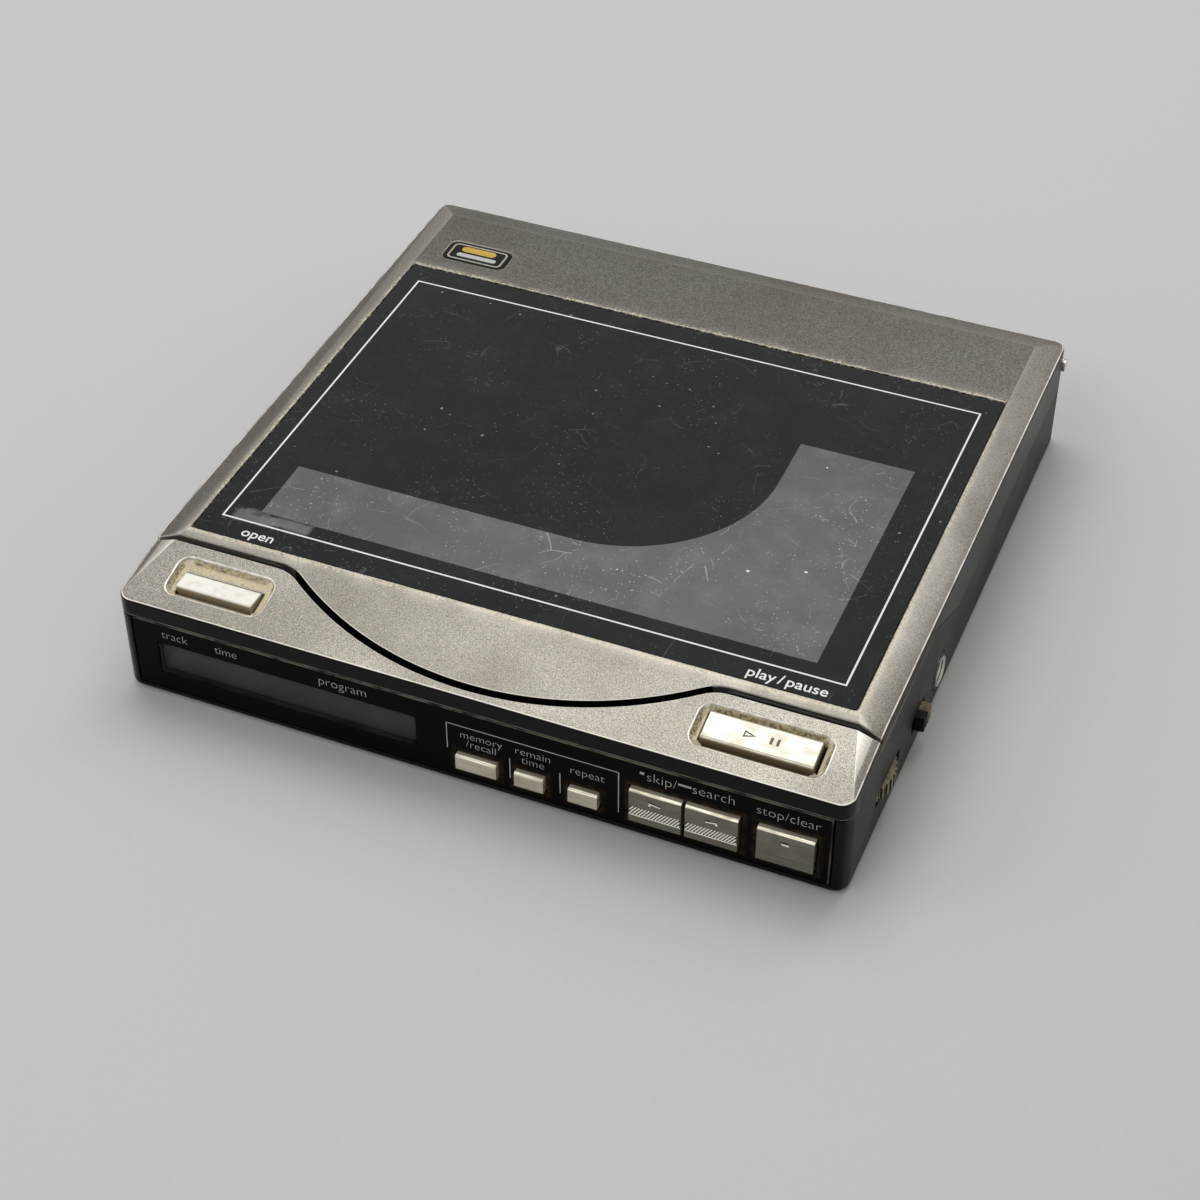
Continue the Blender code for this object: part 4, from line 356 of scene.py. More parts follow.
@dataclass(frozen=True)
class Finish:
    """One surface: what it is made of and how that was made.

    Colours are sRGB hex, sizes are millimetres and shares run from 0 to 1. The grain is the fine
    texture of the surface, and the grime is the slow change over centimetres that handling leaves.
    """

    name: str
    colour: str
    roughness: float
    metallic: float = 0.0
    ior: float = 1.5
    level: float = 0.5
    coat: float = 0.0
    coat_roughness: float = 0.1
    alpha: float = 1.0
    second: str = ""
    grain_mm: float | Triple = 0.3
    grain_share: float = 0.3
    grain_contrast: float = 0.18
    depth_mm: float = 0.0
    grime: str = ""
    grime_mm: float = 14.0
    grime_share: float = 0.25
    swing: float = 0.08
    # Pale edges: partly wear, partly painted highlight; their colour, width and share.
    worn_and_highlit_tone: str = ""
    worn_and_highlit_mm: float = 0.3
    worn_and_highlit_share: float = 0.5
    round_mm: float = 0.0

    def layers(self, brush: Brush) -> Iterator[Layer]:
        """What a kind of finish adds over its colour, as shares and tones; nothing here."""
        yield from ()

    def gloss_change(self, brush: Brush, rough: Socket) -> Socket:
        """What a kind of finish does to its roughness; nothing here."""
        return rough

    def bare_metal(self, brush: Brush, worn_and_highlit: Socket | float) -> Socket | None:
        """How metallic each place is, when a kind of finish varies it; nothing here."""
        return None

    def edge(self, brush: Brush) -> Socket:
        """A share that is high on an edge, where the rounded normal leaves the true one.

        Args:
            brush: what adds the patterns.

        Returns:
            The share.
        """
        rounded = add(brush.tree, "ShaderNodeBevel", {"Radius": self.worn_and_highlit_mm * MM}, samples=4)
        flat = add(brush.tree, "ShaderNodeNewGeometry").outputs["True Normal"]
        same = brush.vector("DOT_PRODUCT", rounded.outputs[0], flat)
        return brush.between(same, 0.994, 0.92, 0.0, self.worn_and_highlit_share)

    def build(self) -> bpy.types.Material:
        """Make the material, or find it when it has been made before.

        Returns:
            The material, with its grain, grime and pale edges that are partly worn and partly a
            painted highlight.
        """
        found = bpy.data.materials.get(self.name)
        if found:
            return found
        material = bpy.data.materials.new(self.name)
        material.use_nodes = True
        tree = material.node_tree
        shader = tree.nodes["Principled BSDF"]
        for socket, value in (("Metallic", self.metallic), ("IOR", self.ior),
                              ("Specular IOR Level", self.level),
                              ("Coat Weight", self.coat), ("Alpha", self.alpha),
                              ("Coat Roughness", self.coat_roughness)):
            shader.inputs[socket].default_value = value
        brush = Brush(tree, add(tree, "ShaderNodeTexCoord").outputs["Object"])
        grain = brush.noise(self.grain_mm)
        flecks = brush.between(grain, 0.5 - self.grain_contrast, 0.5 + self.grain_contrast,
                               0.0, self.grain_share)
        colour = brush.mix(flecks, self.colour, self.second or self.colour)
        cloud = brush.noise(self.grime_mm, 3.0, (0.3, 0.2, 0.5))
        if self.grime:
            smear = brush.between(cloud, 0.42, 0.66, 0.0, self.grime_share)
            colour = brush.mix(smear, colour, self.grime)
        # Pale edges, partly wear and partly painted highlight.
        worn_and_highlit = self.edge(brush) if self.worn_and_highlit_tone else 0.0
        if self.worn_and_highlit_tone:
            colour = brush.mix(worn_and_highlit, colour, self.worn_and_highlit_tone)
        for share, tone in self.layers(brush):
            colour = brush.mix(share, colour, tone)
        tree.links.new(colour, shader.inputs["Base Color"])
        metal = self.bare_metal(brush, worn_and_highlit)
        if metal:
            tree.links.new(metal, shader.inputs["Metallic"])
        rough = brush.between(brush.combine("ADD", grain, cloud), 0.7, 1.3,
                              self.roughness - self.swing, self.roughness + self.swing)
        tree.links.new(self.gloss_change(brush, rough), shader.inputs["Roughness"])
        bump = add(tree, "ShaderNodeBump", {"Height": grain, "Strength": 1.0,
                                            "Distance": self.depth_mm * MM})
        if self.round_mm:
            soft = add(tree, "ShaderNodeBevel", {"Radius": self.round_mm * MM}, samples=6)
            tree.links.new(soft.outputs[0], bump.inputs["Normal"])
        tree.links.new(bump.outputs[0], shader.inputs["Normal"])
        return material


@dataclass(frozen=True)
class ShellFinish(Finish):
    """A finish of the outer shell that knows the shell's upright walls and its front face.

    The walls are found from the rounded square of the case, by the distance
    length(max(|p| - (half - corner), 0)) - corner, which is nought on the wall.
    """

    half: float = 63.0
    corner: float = 2.5
    # On the lid and the cover, the dark walls and the near-black front are partly a darker tone of
    # the part and partly painted shade of faces turned from the light.
    wall: str = "#1b1c1b"
    front: str = "#050505"
    front_roughness: float = 0.16
    # The seam along each side under the chamfer: a dark groove, dirt in it, a bead that is partly
    # rubbed and partly a painted highlight, and pale streaks below it, all fading toward both
    # ends.
    side_wear: Box = Box((0.0, -40.0, 18.5), (63.5, 10.0, 9.0), 13.0)
    groove: Box = Box((0.0, -42.0, 19.95), (63.5, 20.5, 0.6), 0.3)
    groove_shade: str = "#0d0b08"
    strip: Box = Box((0.0, -38.0, 20.0), (63.5, 26.0, 0.5), 0.9)
    strip_patches: Patches = Patches((1.2, 3.0, 0.6), 4.0, 0.4, 0.62, 0.1, 0.6)
    strip_dirt: str = "#6a5c45"
    bead: Box = Box((0.0, -38.0, 18.8), (63.5, 24.5, 0.15), 0.3)
    bead_patches: Patches = Patches((2.0, 4.0, 1.0), 4.0, 0.34, 0.6, 0.15, 0.8)
    bead_wear_and_highlight: str = "#8a8575"
    streaked: Box = Box((0.0, -34.0, 16.8), (63.5, 8.0, 1.0), 3.5)
    streak_size: Triple = (0.6, 4.5, 0.28)
    streak_tilt: Triple = (0.08, 0.0, 0.0)
    streak_wear: str = "#8c8778"
    # The lower edge of the black band over the front panel, and a pale line on it that is partly
    # dust and partly painted highlight.
    lip_line: Box = Box((0.0, -63.0, 16.36), (63.5, 4.0, 0.06), 0.08)
    lip_patches: Patches = Patches(3.0, 4.0, 0.3, 0.6, 0.25, 0.8)
    lip_dust_and_highlight: str = "#88867f"
    # The curved seam in the front slope, without the two pans beside it.
    curve: Box = Box((0.0, -55.3, 19.8), (61.6, 6.4, 2.6), 0.1)
    open_pan: Box = Box((-47.4, -55.7, 20.5), (9.3, 4.6, 3.0), 0.1)
    play_pan: Box = Box((46.0, -55.7, 20.5), (11.4, 4.6, 3.0), 0.1)
    curve_shade: str = "#0a0a0a"
    seam_highlight_share: float = 0.85
    # Below the wall height the curved seam's steep walls get painted shade; from there to the edge
    # height the bevel faces of its upper edge get a painted highlight.
    wall_height: float = 0.4
    edge_height: float = 0.93
    top_inset: float = 0.32
    top_patches: Patches = Patches(2.5, 3.0, 0.3, 0.6, 0.4, 0.95)
    rubbed_and_highlit_tone: str = "#f3eee2"

    def on_wall(self, brush: Brush, inset: float = 0.1) -> Socket:
        """One on the upright walls and up to an inset inside them.

        Args:
            brush: what adds the patterns.
            inset: how far inside the wall, in millimetres.

        Returns:
            The share.
        """
        core = self.half - self.corner
        reach = brush.beyond((0.0, 0.0, 0.0), (core, core, FAR))
        return brush.between(reach, (self.corner - inset - 0.1) * MM,
                             (self.corner - inset) * MM)

    def on_front(self, brush: Brush) -> Socket:
        """One on the front face, fading to nought round its corners."""
        return brush.between(brush.axes(brush.place)[1], (1.2 - self.half) * MM,
                             (0.3 - self.half) * MM)

    def in_curve(self, brush: Brush, low: float, high: float) -> Socket:
        """One in the area of the curved seam where the normal's height is between two values.

        Args:
            brush: what adds the patterns.
            low, high: the normal's least and greatest height.

        Returns:
            The share.
        """
        up = brush.facing_up()
        turned = brush.times(brush.between(up, low - 0.05, low + 0.05),
                             brush.between(up, high - 0.05, high + 0.05, 1.0, 0.0))
        pans = brush.largest(brush.inside(self.open_pan), brush.inside(self.play_pan))
        here = brush.times(brush.inside(self.curve), brush.combine("SUBTRACT", 1.0, pans))
        return brush.times(turned, here)

    def rubbed_and_highlit(self, brush: Brush) -> Socket:
        """Where the paint's edges are pale, partly rubbed and partly a painted highlight: round
        the top and along the curved seam.

        Args:
            brush: what adds the patterns.

        Returns:
            The share.
        """
        round_top = brush.times(self.on_wall(brush, self.top_inset),
                                brush.patches(self.top_patches))
        seam = self.in_curve(brush, self.wall_height, self.edge_height)
        return brush.largest(round_top, brush.times(seam, self.seam_highlight_share))

    def side_seam(self, brush: Brush) -> Iterator[Layer]:
        """Dirt in the seam that runs along each side, with rubbed places and a painted highlight
        under it.

        Args:
            brush: what adds the patterns.

        Returns:
            Each layer's share and tone, from the lowest up.
        """
        upright = brush.times(self.on_wall(brush), brush.inside(self.side_wear))
        yield brush.times(brush.inside(self.groove), upright), self.groove_shade
        for box, patches, tone in ((self.strip, self.strip_patches, self.strip_dirt),
                                   (self.bead, self.bead_patches, self.bead_wear_and_highlight)):
            yield brush.times(brush.inside(box), upright, brush.patches(patches)), tone
        streaks = brush.noise(self.streak_size, 4.0, self.streak_tilt)
        yield brush.times(brush.between(streaks, 0.62, 0.7, 0.0, 0.6), upright,
                          brush.inside(self.streaked)), self.streak_wear

    def shell(self, brush: Brush) -> Iterator[Layer]:
        """Pale edges, partly rubbed and partly a painted highlight, walls and a black front
        darkened partly by painted shade, a lip of dust and painted highlight, and a dark seam.

        Args:
            brush: what adds the patterns.

        Returns:
            Each layer's share and tone, from the lowest up.
        """
        yield self.rubbed_and_highlit(brush), self.rubbed_and_highlit_tone
        upright = self.on_wall(brush)
        yield upright, self.wall
        yield from self.side_seam(brush)
        yield brush.times(upright, self.on_front(brush)), self.front
        lip = brush.times(brush.inside(self.lip_line), brush.patches(self.lip_patches))
        yield lip, self.lip_dust_and_highlight
        yield self.in_curve(brush, -1.0, self.wall_height), self.curve_shade

    def dusty(self, brush: Brush) -> Socket | float:
        """How much dust hides the paint; none here."""
        return 0.0

    def gloss_change(self, brush: Brush, rough: Socket) -> Socket:
        """Polished on the front face and its corners.

        Args:
            brush: what adds the patterns.
            rough: the roughness so far.

        Returns:
            The roughness.
        """
        both = brush.times(self.on_wall(brush), self.on_front(brush))
        return add(brush.tree, "ShaderNodeMix",
                   {0: both, 2: rough, 3: self.front_roughness}).outputs[0]

    def bare_metal(self, brush: Brush, worn_and_highlit: Socket | float) -> Socket | None:
        """Metallic where the flakes show: not on the walls, the worn and highlit edges or dust.

        Args:
            brush: what adds the patterns.
            worn_and_highlit: the share of the edges that are worn and painted with a highlight.

        Returns:
            How metallic each place is, or none where the finish has no flakes.
        """
        if not self.metallic:
            return None
        hidden = brush.largest(self.on_wall(brush), worn_and_highlit, self.rubbed_and_highlit(brush),
                               self.dusty(brush))
        return brush.between(hidden, 0.0, 1.0, self.metallic, 0.0)


@dataclass(frozen=True)
class CaseFinish(ShellFinish):
    """The lower case: its own colour on the sides, black on the front."""

    def layers(self, brush: Brush) -> Iterator[Layer]:
        """Dirt in the side seam, and black over the front face."""
        yield from self.side_seam(brush)
        yield self.on_front(brush), self.front


@dataclass(frozen=True)
class CoverPaint(ShellFinish):
    """Metallic paint with beige dust in the pans, below the plane that the keys stand in."""

    slope_origin: Triple = (0.0, -55.7, 20.96)
    slope_rise: float = 0.2206
    pans: tuple[tuple[float, float], ...] = ((-47.4, 8.8), (46.0, 10.9))
    pan_half: float = 3.85
    pan_radius: float = 2.0
    dust: str = "#d6c69f"
    dust_patches: Patches = Patches(0.5, 4.0, 0.34, 0.62, 0.15, 1.0)
    dust_depth: tuple[float, float] = (-0.4, -0.03)
    clean_middle: float = 0.7
    # A pale line round the pans' rims: partly wear, partly painted highlight.
    rim_grow: float = 0.16
    rim_shrink: float = -0.12
    rim_patches: Patches = Patches(1.4, 3.0, 0.3, 0.6, 0.3, 0.85)

    def in_pans(self, brush: Brush, grow: float, fade: float) -> Socket:
        """One inside the two pans' rounded outlines.

        The distance is length(max(|p - centre| - (half - radius), 0)) - radius in plan.

        Args:
            brush: what adds the patterns.
            grow: how far the outlines are grown, in millimetres.
            fade: the distance over which the share falls, in millimetres.

        Returns:
            The share.
        """
        edge = (self.pan_radius + grow) * MM
        near = []
        for centre, half in self.pans:
            reach = brush.beyond((centre, self.slope_origin[1], 0.0),
                                 (half - self.pan_radius, self.pan_half - self.pan_radius, FAR))
            near.append(brush.between(reach, edge, edge + fade * MM, 1.0, 0.0))
        return brush.largest(*near)

    def dusty(self, brush: Brush) -> Socket:
        """Dust by depth under the slope's plane inside the pans, thin in their middle.

        Args:
            brush: what adds the patterns.

        Returns:
            The share.
        """
        away = brush.vector("SUBTRACT", brush.place, in_metres(self.slope_origin))
        tilt = math.atan(self.slope_rise)
        height = brush.vector("DOT_PRODUCT", away, (0.0, -math.sin(tilt), math.cos(tilt)))
        low, high = self.dust_depth
        middle = brush.times(self.in_pans(brush, -1.9, 0.8), self.clean_middle)
        return brush.times(brush.between(height, low * MM, high * MM, 1.0, 0.0),
                           self.in_pans(brush, 0.1, 0.2), brush.patches(self.dust_patches),
                           brush.combine("SUBTRACT", 1.0, middle))

    def layers(self, brush: Brush) -> Iterator[Layer]:
        """Dust in the pans and a pale line round their rims, partly wear and partly painted
        highlight.

        Args:
            brush: what adds the patterns.

        Returns:
            Each layer's share and tone, from the lowest up.
        """
        rim = brush.combine("SUBTRACT", self.in_pans(brush, self.rim_grow, 0.1),
                            self.in_pans(brush, self.rim_shrink, 0.1))
        yield brush.times(rim, brush.patches(self.rim_patches)), self.worn_and_highlit_tone
        yield self.dusty(brush), self.dust
        yield from self.shell(brush)


@dataclass(frozen=True)
class LidPaint(ShellFinish):
    """Metallic paint with pale dust along the window's edge."""

    window_centre: Triple = (0.0, -3.65, 23.0)
    window_half: Triple = (57.95, 42.55, 0.3)
    film: str = "#a7a299"
    film_reach: float = 3.2
    film_patches: Patches = Patches(7.0, 5.0, 0.34, 0.66, 0.0, 0.55)
    dust: str = "#d5ccb4"
    dust_reach: float = 1.3
    dust_specks: Patches = Patches(0.5, 3.0, 0.42, 0.56)
    dust_lengths: Patches = Patches(8.0, 4.0, 0.36, 0.56, 0.2, 1.0)
    gap_dirt: str = "#1d1912"
    gap_reach: float = 0.15
    gap_patches: Patches = Patches(0.9, 2.0, 0.4, 0.6, 0.9, 0.1)

    def round_window(self, brush: Brush, reach: float, of: Patches) -> Socket:
        """Patches at the window's edge that fade over a reach outside it, in millimetres."""
        edge = brush.inside(Box(self.window_centre, self.window_half, reach))
        return brush.times(edge, brush.patches(of))

    def dusty(self, brush: Brush) -> Socket:
        """Specks of dust packed against the window, thick in some places and thin in others."""
        return brush.times(self.round_window(brush, self.dust_reach, self.dust_specks),
                           brush.patches(self.dust_lengths))

    def layers(self, brush: Brush) -> Iterator[Layer]:
        """A pale film that fades away from the window, dust against it and a dark gap.

        Args:
            brush: what adds the patterns.

        Returns:
            Each layer's share and tone, from the lowest up.
        """
        yield self.round_window(brush, self.film_reach, self.film_patches), self.film
        yield self.dusty(brush), self.dust
        yield self.round_window(brush, self.gap_reach, self.gap_patches), self.gap_dirt
        yield from self.shell(brush)


@dataclass(frozen=True)
class Acrylic(Finish):
    """Gloss acrylic with fine dust and the scratches of years in a bag."""

    film: str = "#4a4f4d"
    film_share: float = 0.3
    dust: str = "#c9cbc6"
    dust_share: float = 0.4
    dust_places: Patches = Patches(13.0, 2.0, 0.38, 0.66, 0.15, 1.0)
    large_dust: str = "#eceee9"
    large_specks: Patches = Patches(1.1, 0.0, 0.84, 0.87)
    scratch: str = "#8f9592"
    scratch_share: float = 0.35
    scratch_kinds: tuple[Scratches, ...] = (Scratches(23.0, 0.16, 0.56, 1.0),
                                            Scratches(9.0, 0.1, 0.55, 0.8),
                                            Scratches(4.0, 0.07, 0.58, 0.7))

    def layers(self, brush: Brush) -> Iterator[Layer]:
        """A cloudy film, dust specks of two sizes and hair scratches of three lengths.

        Args:
            brush: what adds the patterns.

        Returns:
            Each layer's share and tone, from the lowest up.
        """
        yield brush.patches(Patches(6.0, 7.0, 0.42, 0.72, 0.0, self.film_share)), self.film
        where = brush.patches(self.dust_places)
        dots = brush.patches(Patches(0.35, 0.0, 0.78, 0.83, 0.0, self.dust_share))
        yield brush.times(dots, where), self.dust
        yield brush.times(brush.patches(self.large_specks), self.dust_share), self.large_dust
        for kind in self.scratch_kinds:
            yield (brush.times(brush.scratches(kind), self.scratch_share * kind.share, where),
                   self.scratch)


@dataclass(frozen=True)
class LidAcrylic(Acrylic):
    """The lid's window, paler toward its front right, partly from a film and partly from a painted
    reflection, and smeared near its front left corner.
    """

    # A pale tone toward the front right: partly film, partly painted reflection.
    pale: str = "#7b807d"
    pale_share: float = 0.4
    pale_across: Triple = (1.0, -0.8, 0.0)
    pale_from: float = -20.0
    pale_to: float = 85.0
    pale_patches: Patches = Patches(9.0, 6.0, 0.36, 0.66, 0.25, 1.0)
    smear: str = "#8a8f8c"
    smeared: Box = Box((-46.0, -39.9, 22.9), (6.0, 0.7, 1.0), 2.4)
    smear_size: Triple = (3.2, 1.8, 3.0)

    def layers(self, brush: Brush) -> Iterator[Layer]:
        """A pale tone, partly film and partly painted reflection, whose share grows with x - 0.8
        y, and a smear with a ragged edge.

        Args:
            brush: what adds the patterns.

        Returns:
            Each layer's share and tone, from the lowest up.
        """
        across = brush.vector("DOT_PRODUCT", brush.place, self.pale_across)
        slope = brush.between(across, self.pale_from * MM, self.pale_to * MM, 0.0,
                              self.pale_share)
        yield brush.times(slope, brush.patches(self.pale_patches)), self.pale
        ragged = brush.times(brush.inside(self.smeared), brush.noise(self.smear_size, 4.0))
        yield brush.between(ragged, 0.2, 0.56, 0.0, 0.6), self.smear
        yield from super().layers(brush)


@dataclass(frozen=True)
class PanelGloss(Finish):
    """Gloss black moulding with brown dirt between the keys."""

    dirt: str = "#4a3924"
    dirt_reach: float = 1.5
    dirt_patches: Patches = Patches(1.1, 5.0, 0.36, 0.7, 0.1, 0.7)
    # Middle, half width, height and half height of each key or pair of keys.
    keys: tuple[tuple[float, float, float, float], ...] = (
        (1.45, 3.5, 5.4, 1.6), (10.6, 2.5, 5.4, 1.6), (19.8, 2.5, 5.4, 1.6),
        (36.6, 9.0, 7.4, 3.5), (53.25, 4.6, 7.4, 3.5))
    top_seam: Box = Box((0.0, -63.0, 15.95), (62.0, 1.0, 0.07), 0.1)
    right_seam: Box = Box((60.22, -63.0, 9.0), (0.1, 1.0, 8.0), 0.12)
    right_share: float = 0.5
    seam_patches: Patches = Patches(4.0, 5.0, 0.36, 0.6, 0.15, 0.85)
    seam_dust: str = "#7d7668"

    def layers(self, brush: Brush) -> Iterator[Layer]:
        """Dirt in a thin halo round every key, and dust in the seams at its edges.

        Args:
            brush: what adds the patterns.

        Returns:
            Each layer's share and tone, from the lowest up.
        """
        halo = brush.largest(*(
            brush.inside(Box((middle, -63.0, height), (half, 2.0, rise), self.dirt_reach))
            for middle, half, height, rise in self.keys))
        yield brush.times(halo, brush.patches(self.dirt_patches)), self.dirt
        seams = brush.largest(brush.inside(self.top_seam),
                              brush.times(brush.inside(self.right_seam), self.right_share))
        yield brush.times(seams, brush.patches(self.seam_patches)), self.seam_dust


@dataclass(frozen=True)
class KeyMetal(Finish):
    """Brushed skin of the front keys, darker on the faces of the three large ones."""

    dull: str = "#4f4b42"
    dull_share: float = 0.8
    large_keys: Box = Box((43.0, -63.9, 6.9), (16.0, 1.5, 3.5), 0.08)

    def layers(self, brush: Brush) -> Iterator[Layer]:
        """Mix the darker tone in below the large keys' bright upper facet."""
        yield brush.times(brush.inside(self.large_keys), self.dull_share), self.dull


@dataclass(frozen=True)
class TopKeyMetal(Finish):
    """Anodised top keys: bright on top, brown on the faces that stand up, partly dirt and partly
    painted shade.
    """

    # Brown of the upright faces: partly dirt, partly painted shade.
    side: str = "#86775a"

    def layers(self, brush: Brush) -> Iterator[Layer]:
        """The share of dirt and painted shade falls as the face's normal turns up."""
        yield brush.between(brush.facing_up(), 0.2, 0.62, 0.9, 0.0), self.side


@dataclass(frozen=True)
class DustyKnob(Finish):
    """A moulded knob with beige skin dust packed on part of it."""

    dust: str = "#9a8c72"
    dusted: Box = Box((63.5, -24.6, 7.6), (2.0, 1.2, 2.6), 0.5)
    dust_patches: Patches = Patches(0.8, 3.0, 0.32, 0.6, 0.3, 0.9)

    def layers(self, brush: Brush) -> Iterator[Layer]:
        """Dust inside a box, broken up by a noise."""
        yield (brush.times(brush.inside(self.dusted), brush.patches(self.dust_patches)),
               self.dust)


@dataclass(frozen=True)
class KnurledWheel(Finish):
    """A knurled wheel whose ridges hold dust, with painted shade in its valleys."""

    centre: Triple = (56.1, -42.5, 7.0)
    crest: float = 8.0
    deep: float = 0.25
    notches: float = 80.0
    dust: str = "#a3967a"
    dust_patches: Patches = Patches(0.9, 3.0, 0.3, 0.62, 0.45, 1.0)
    # Painted shade in the valleys, darker than the moulding.
    valley: str = "#0c0b09"
    valley_share: float = 0.9

    def layers(self, brush: Brush) -> Iterator[Layer]:
        """Dust on the flat rim and on the ridges' crests, painted shade in the valleys between
        them.

        The rim is found by the distance from the axis, length((p - centre) * (1, 1, 0)), and a
        crest is where sin(notches * angle) is high.

        Args:
            brush: what adds the patterns.

        Returns:
            Each layer's share and tone, from the lowest up.
        """
        away = brush.vector("SUBTRACT", brush.place, in_metres(self.centre))
        reach = brush.vector("LENGTH", brush.vector("MULTIPLY", away, (1.0, 1.0, 0.0)))
        low = (self.crest - self.deep) * MM
        up = brush.facing_up()
        patches = brush.patches(self.dust_patches)
        yield brush.times(brush.between(up, 0.5, 0.8),
                          brush.between(reach, low - 1.3 * MM, low - 0.7 * MM),
                          patches), self.dust
        # The rim's side, painted with shade before dust goes on the crests.
        side = brush.times(brush.between(up, 0.5, 0.8, 1.0, 0.0),
                           brush.between(reach, low - 0.6 * MM, low - 0.1 * MM))
        yield brush.times(side, self.valley_share), self.valley
        across, along, _ = brush.axes(away)
        turns = brush.times(brush.combine("ARCTAN2", along, across), self.notches)
        wave = add(brush.tree, "ShaderNodeMath", {0: turns}, operation="SINE").outputs[0]
        yield brush.times(side, brush.between(wave, -0.5, 0.2), patches), self.dust


# ---------------------------------------------------------------------------------------------
# Finishes
# ---------------------------------------------------------------------------------------------

# Satin metallic paint on moulded ABS: fine bright flakes in warm grey-brown. A real flake is
# 0.03 mm, drawn at 0.2 mm so that it shows.
# Its near-white edges are partly worn paint and partly painted highlight.
COVER_PAINT = CoverPaint("satin_metallic_paint_on_cover", "#6b6860", 0.34, metallic=0.8,
                         level=0.15, second="#c6c1b5", grain_mm=0.2, grain_share=0.55,
                         grain_contrast=0.15, depth_mm=0.02, grime="#655e54", grime_mm=22.0,
                         grime_share=0.2, swing=0.05, worn_and_highlit_tone="#f4efe4", worn_and_highlit_mm=0.26, worn_and_highlit_share=0.9,
                         round_mm=0.2)
# The lid's paint, its pale edges likewise partly worn and partly painted highlight.
LID_PAINT = LidPaint("satin_metallic_paint_on_lid", "#696660", 0.34, metallic=0.8, level=0.15,
                     second="#b9b4a8", grain_mm=0.2, grain_share=0.5, grain_contrast=0.14,
                     depth_mm=0.02, grime="#57503f", grime_mm=26.0, grime_share=0.25, swing=0.05,
                     worn_and_highlit_tone="#ddd6c8", worn_and_highlit_mm=0.3, worn_and_highlit_share=0.7, round_mm=0.2)
# Spark-eroded ABS: dark grey with a dull fine texture and paler rubbed edges.
CASE_PLASTIC = CaseFinish("textured_abs_case", "#1f2120", 0.42, level=0.12, second="#303230",
                          grain_mm=0.25, depth_mm=0.012, grime="#443f36", grime_share=0.2,
                          worn_and_highlit_tone="#8a877c", worn_and_highlit_mm=0.25, round_mm=0.15)
# Satin ABS of the disc tray: mid grey, a finer texture than the case.
DECK_PLASTIC = Finish("satin_abs_tray", "#55585a", 0.45, second="#666a6c", grain_mm=0.2,
                      depth_mm=0.012, grime="#5d574c", grime_share=0.15)
# The lid's inner plate: the same ABS in a darker grey.
INNER_PLASTIC = Finish("satin_abs_inner_plate", "#3a3d3f", 0.45, second="#484b4d", grain_mm=0.2,
                       depth_mm=0.012, grime="#453f36", grime_share=0.2)
# Gloss ABS front panel: near black, sharp reflections, dirt between the keys.
PANEL = PanelGloss("gloss_abs_panel", "#020202", 0.14, level=0.05, second="#060606", grain_mm=0.5,
                   grime="#080706", grime_share=0.5, swing=0.05)
# Gloss moulding under the badge's foil.
BADGE_BLACK = Finish("gloss_abs_badge", "#0c110e", 0.12, level=0.3, second="#131a15", grain_mm=0.5,
                     swing=0.04)
# Clear lacquer ring round the badge, dulled by dust.
BADGE_RIM = Finish("dusty_lacquer_rim", "#b9b0a2", 0.4, second="#8d8578", grain_mm=0.5,
                   grain_share=0.6)
# Cast acrylic printed black on its underside.
WINDOW_BLACK = LidAcrylic("printed_cast_acrylic", "#0b0e0f", 0.08, ior=1.49, second="#101314",
                          grime="#181c1c", grime_mm=30.0, grime_share=0.5, swing=0.03,
                          film="#262b2a", film_share=0.3, pale="#2c3130", pale_share=0.3,
                          scratch="#7d8380", scratch_share=0.4, dust_share=0.24)
# The unprinted part of the same acrylic: smoky grey and half see-through.
WINDOW_CLEAR = LidAcrylic("smoked_cast_acrylic", "#606462", 0.1, ior=1.49, alpha=0.92,
                          second="#676b69", grime="#6c706d", grime_mm=30.0, grime_share=0.6,
                          swing=0.03, film="#7d827f", film_share=0.5, dust_share=0.95,
                          scratch="#c4c9c5", scratch_share=0.7)
# Dark clear acrylic in front of the display.
DISPLAY_COVER = Acrylic("tinted_display_acrylic", "#141715", 0.08, ior=1.49, alpha=0.3, level=0.4,
                        grime="#1b1f1c", grime_share=0.4, swing=0.03, dust_share=0.3,
                        scratch_share=0.15)
# Liquid crystal glass over its grey-green polariser.
CRYSTAL = Finish("liquid_crystal_polariser", "#626c5e", 0.3, second="#6c7668", grain_mm=0.4,
                 grime="#525a50", swing=0.03)
# Anodised champagne aluminium skin of the keys, brushed along the key's length.
KEY_METAL = KeyMetal("brushed_champagne_aluminium", "#e9e2cf", 0.28, metallic=0.4,
                     second="#a39b86", grain_mm=(6.0, 0.11, 0.11), grain_share=0.75,
                     depth_mm=0.006, grime="#8d8068", grime_mm=3.0, grime_share=0.3,
                     worn_and_highlit_tone="#f4eedf", worn_and_highlit_mm=0.15, worn_and_highlit_share=0.6)
# The same skin where it is polished, painted as a highlight: the lit lips of the engraving, the
# ribs and the line below them.
KEY_POLISH_AND_HIGHLIGHT = Finish("polished_and_highlit_champagne_aluminium", "#fffaf0", 0.3, second="#e6dcc2", grain_mm=0.3,
                    grain_share=0.3)
# Shaded bottoms of the grooves between the ribs.
KEY_GROOVE = Finish("grooved_champagne_aluminium", "#3a3424", 0.5, metallic=0.2, second="#4c4533",
                    grain_mm=0.2)
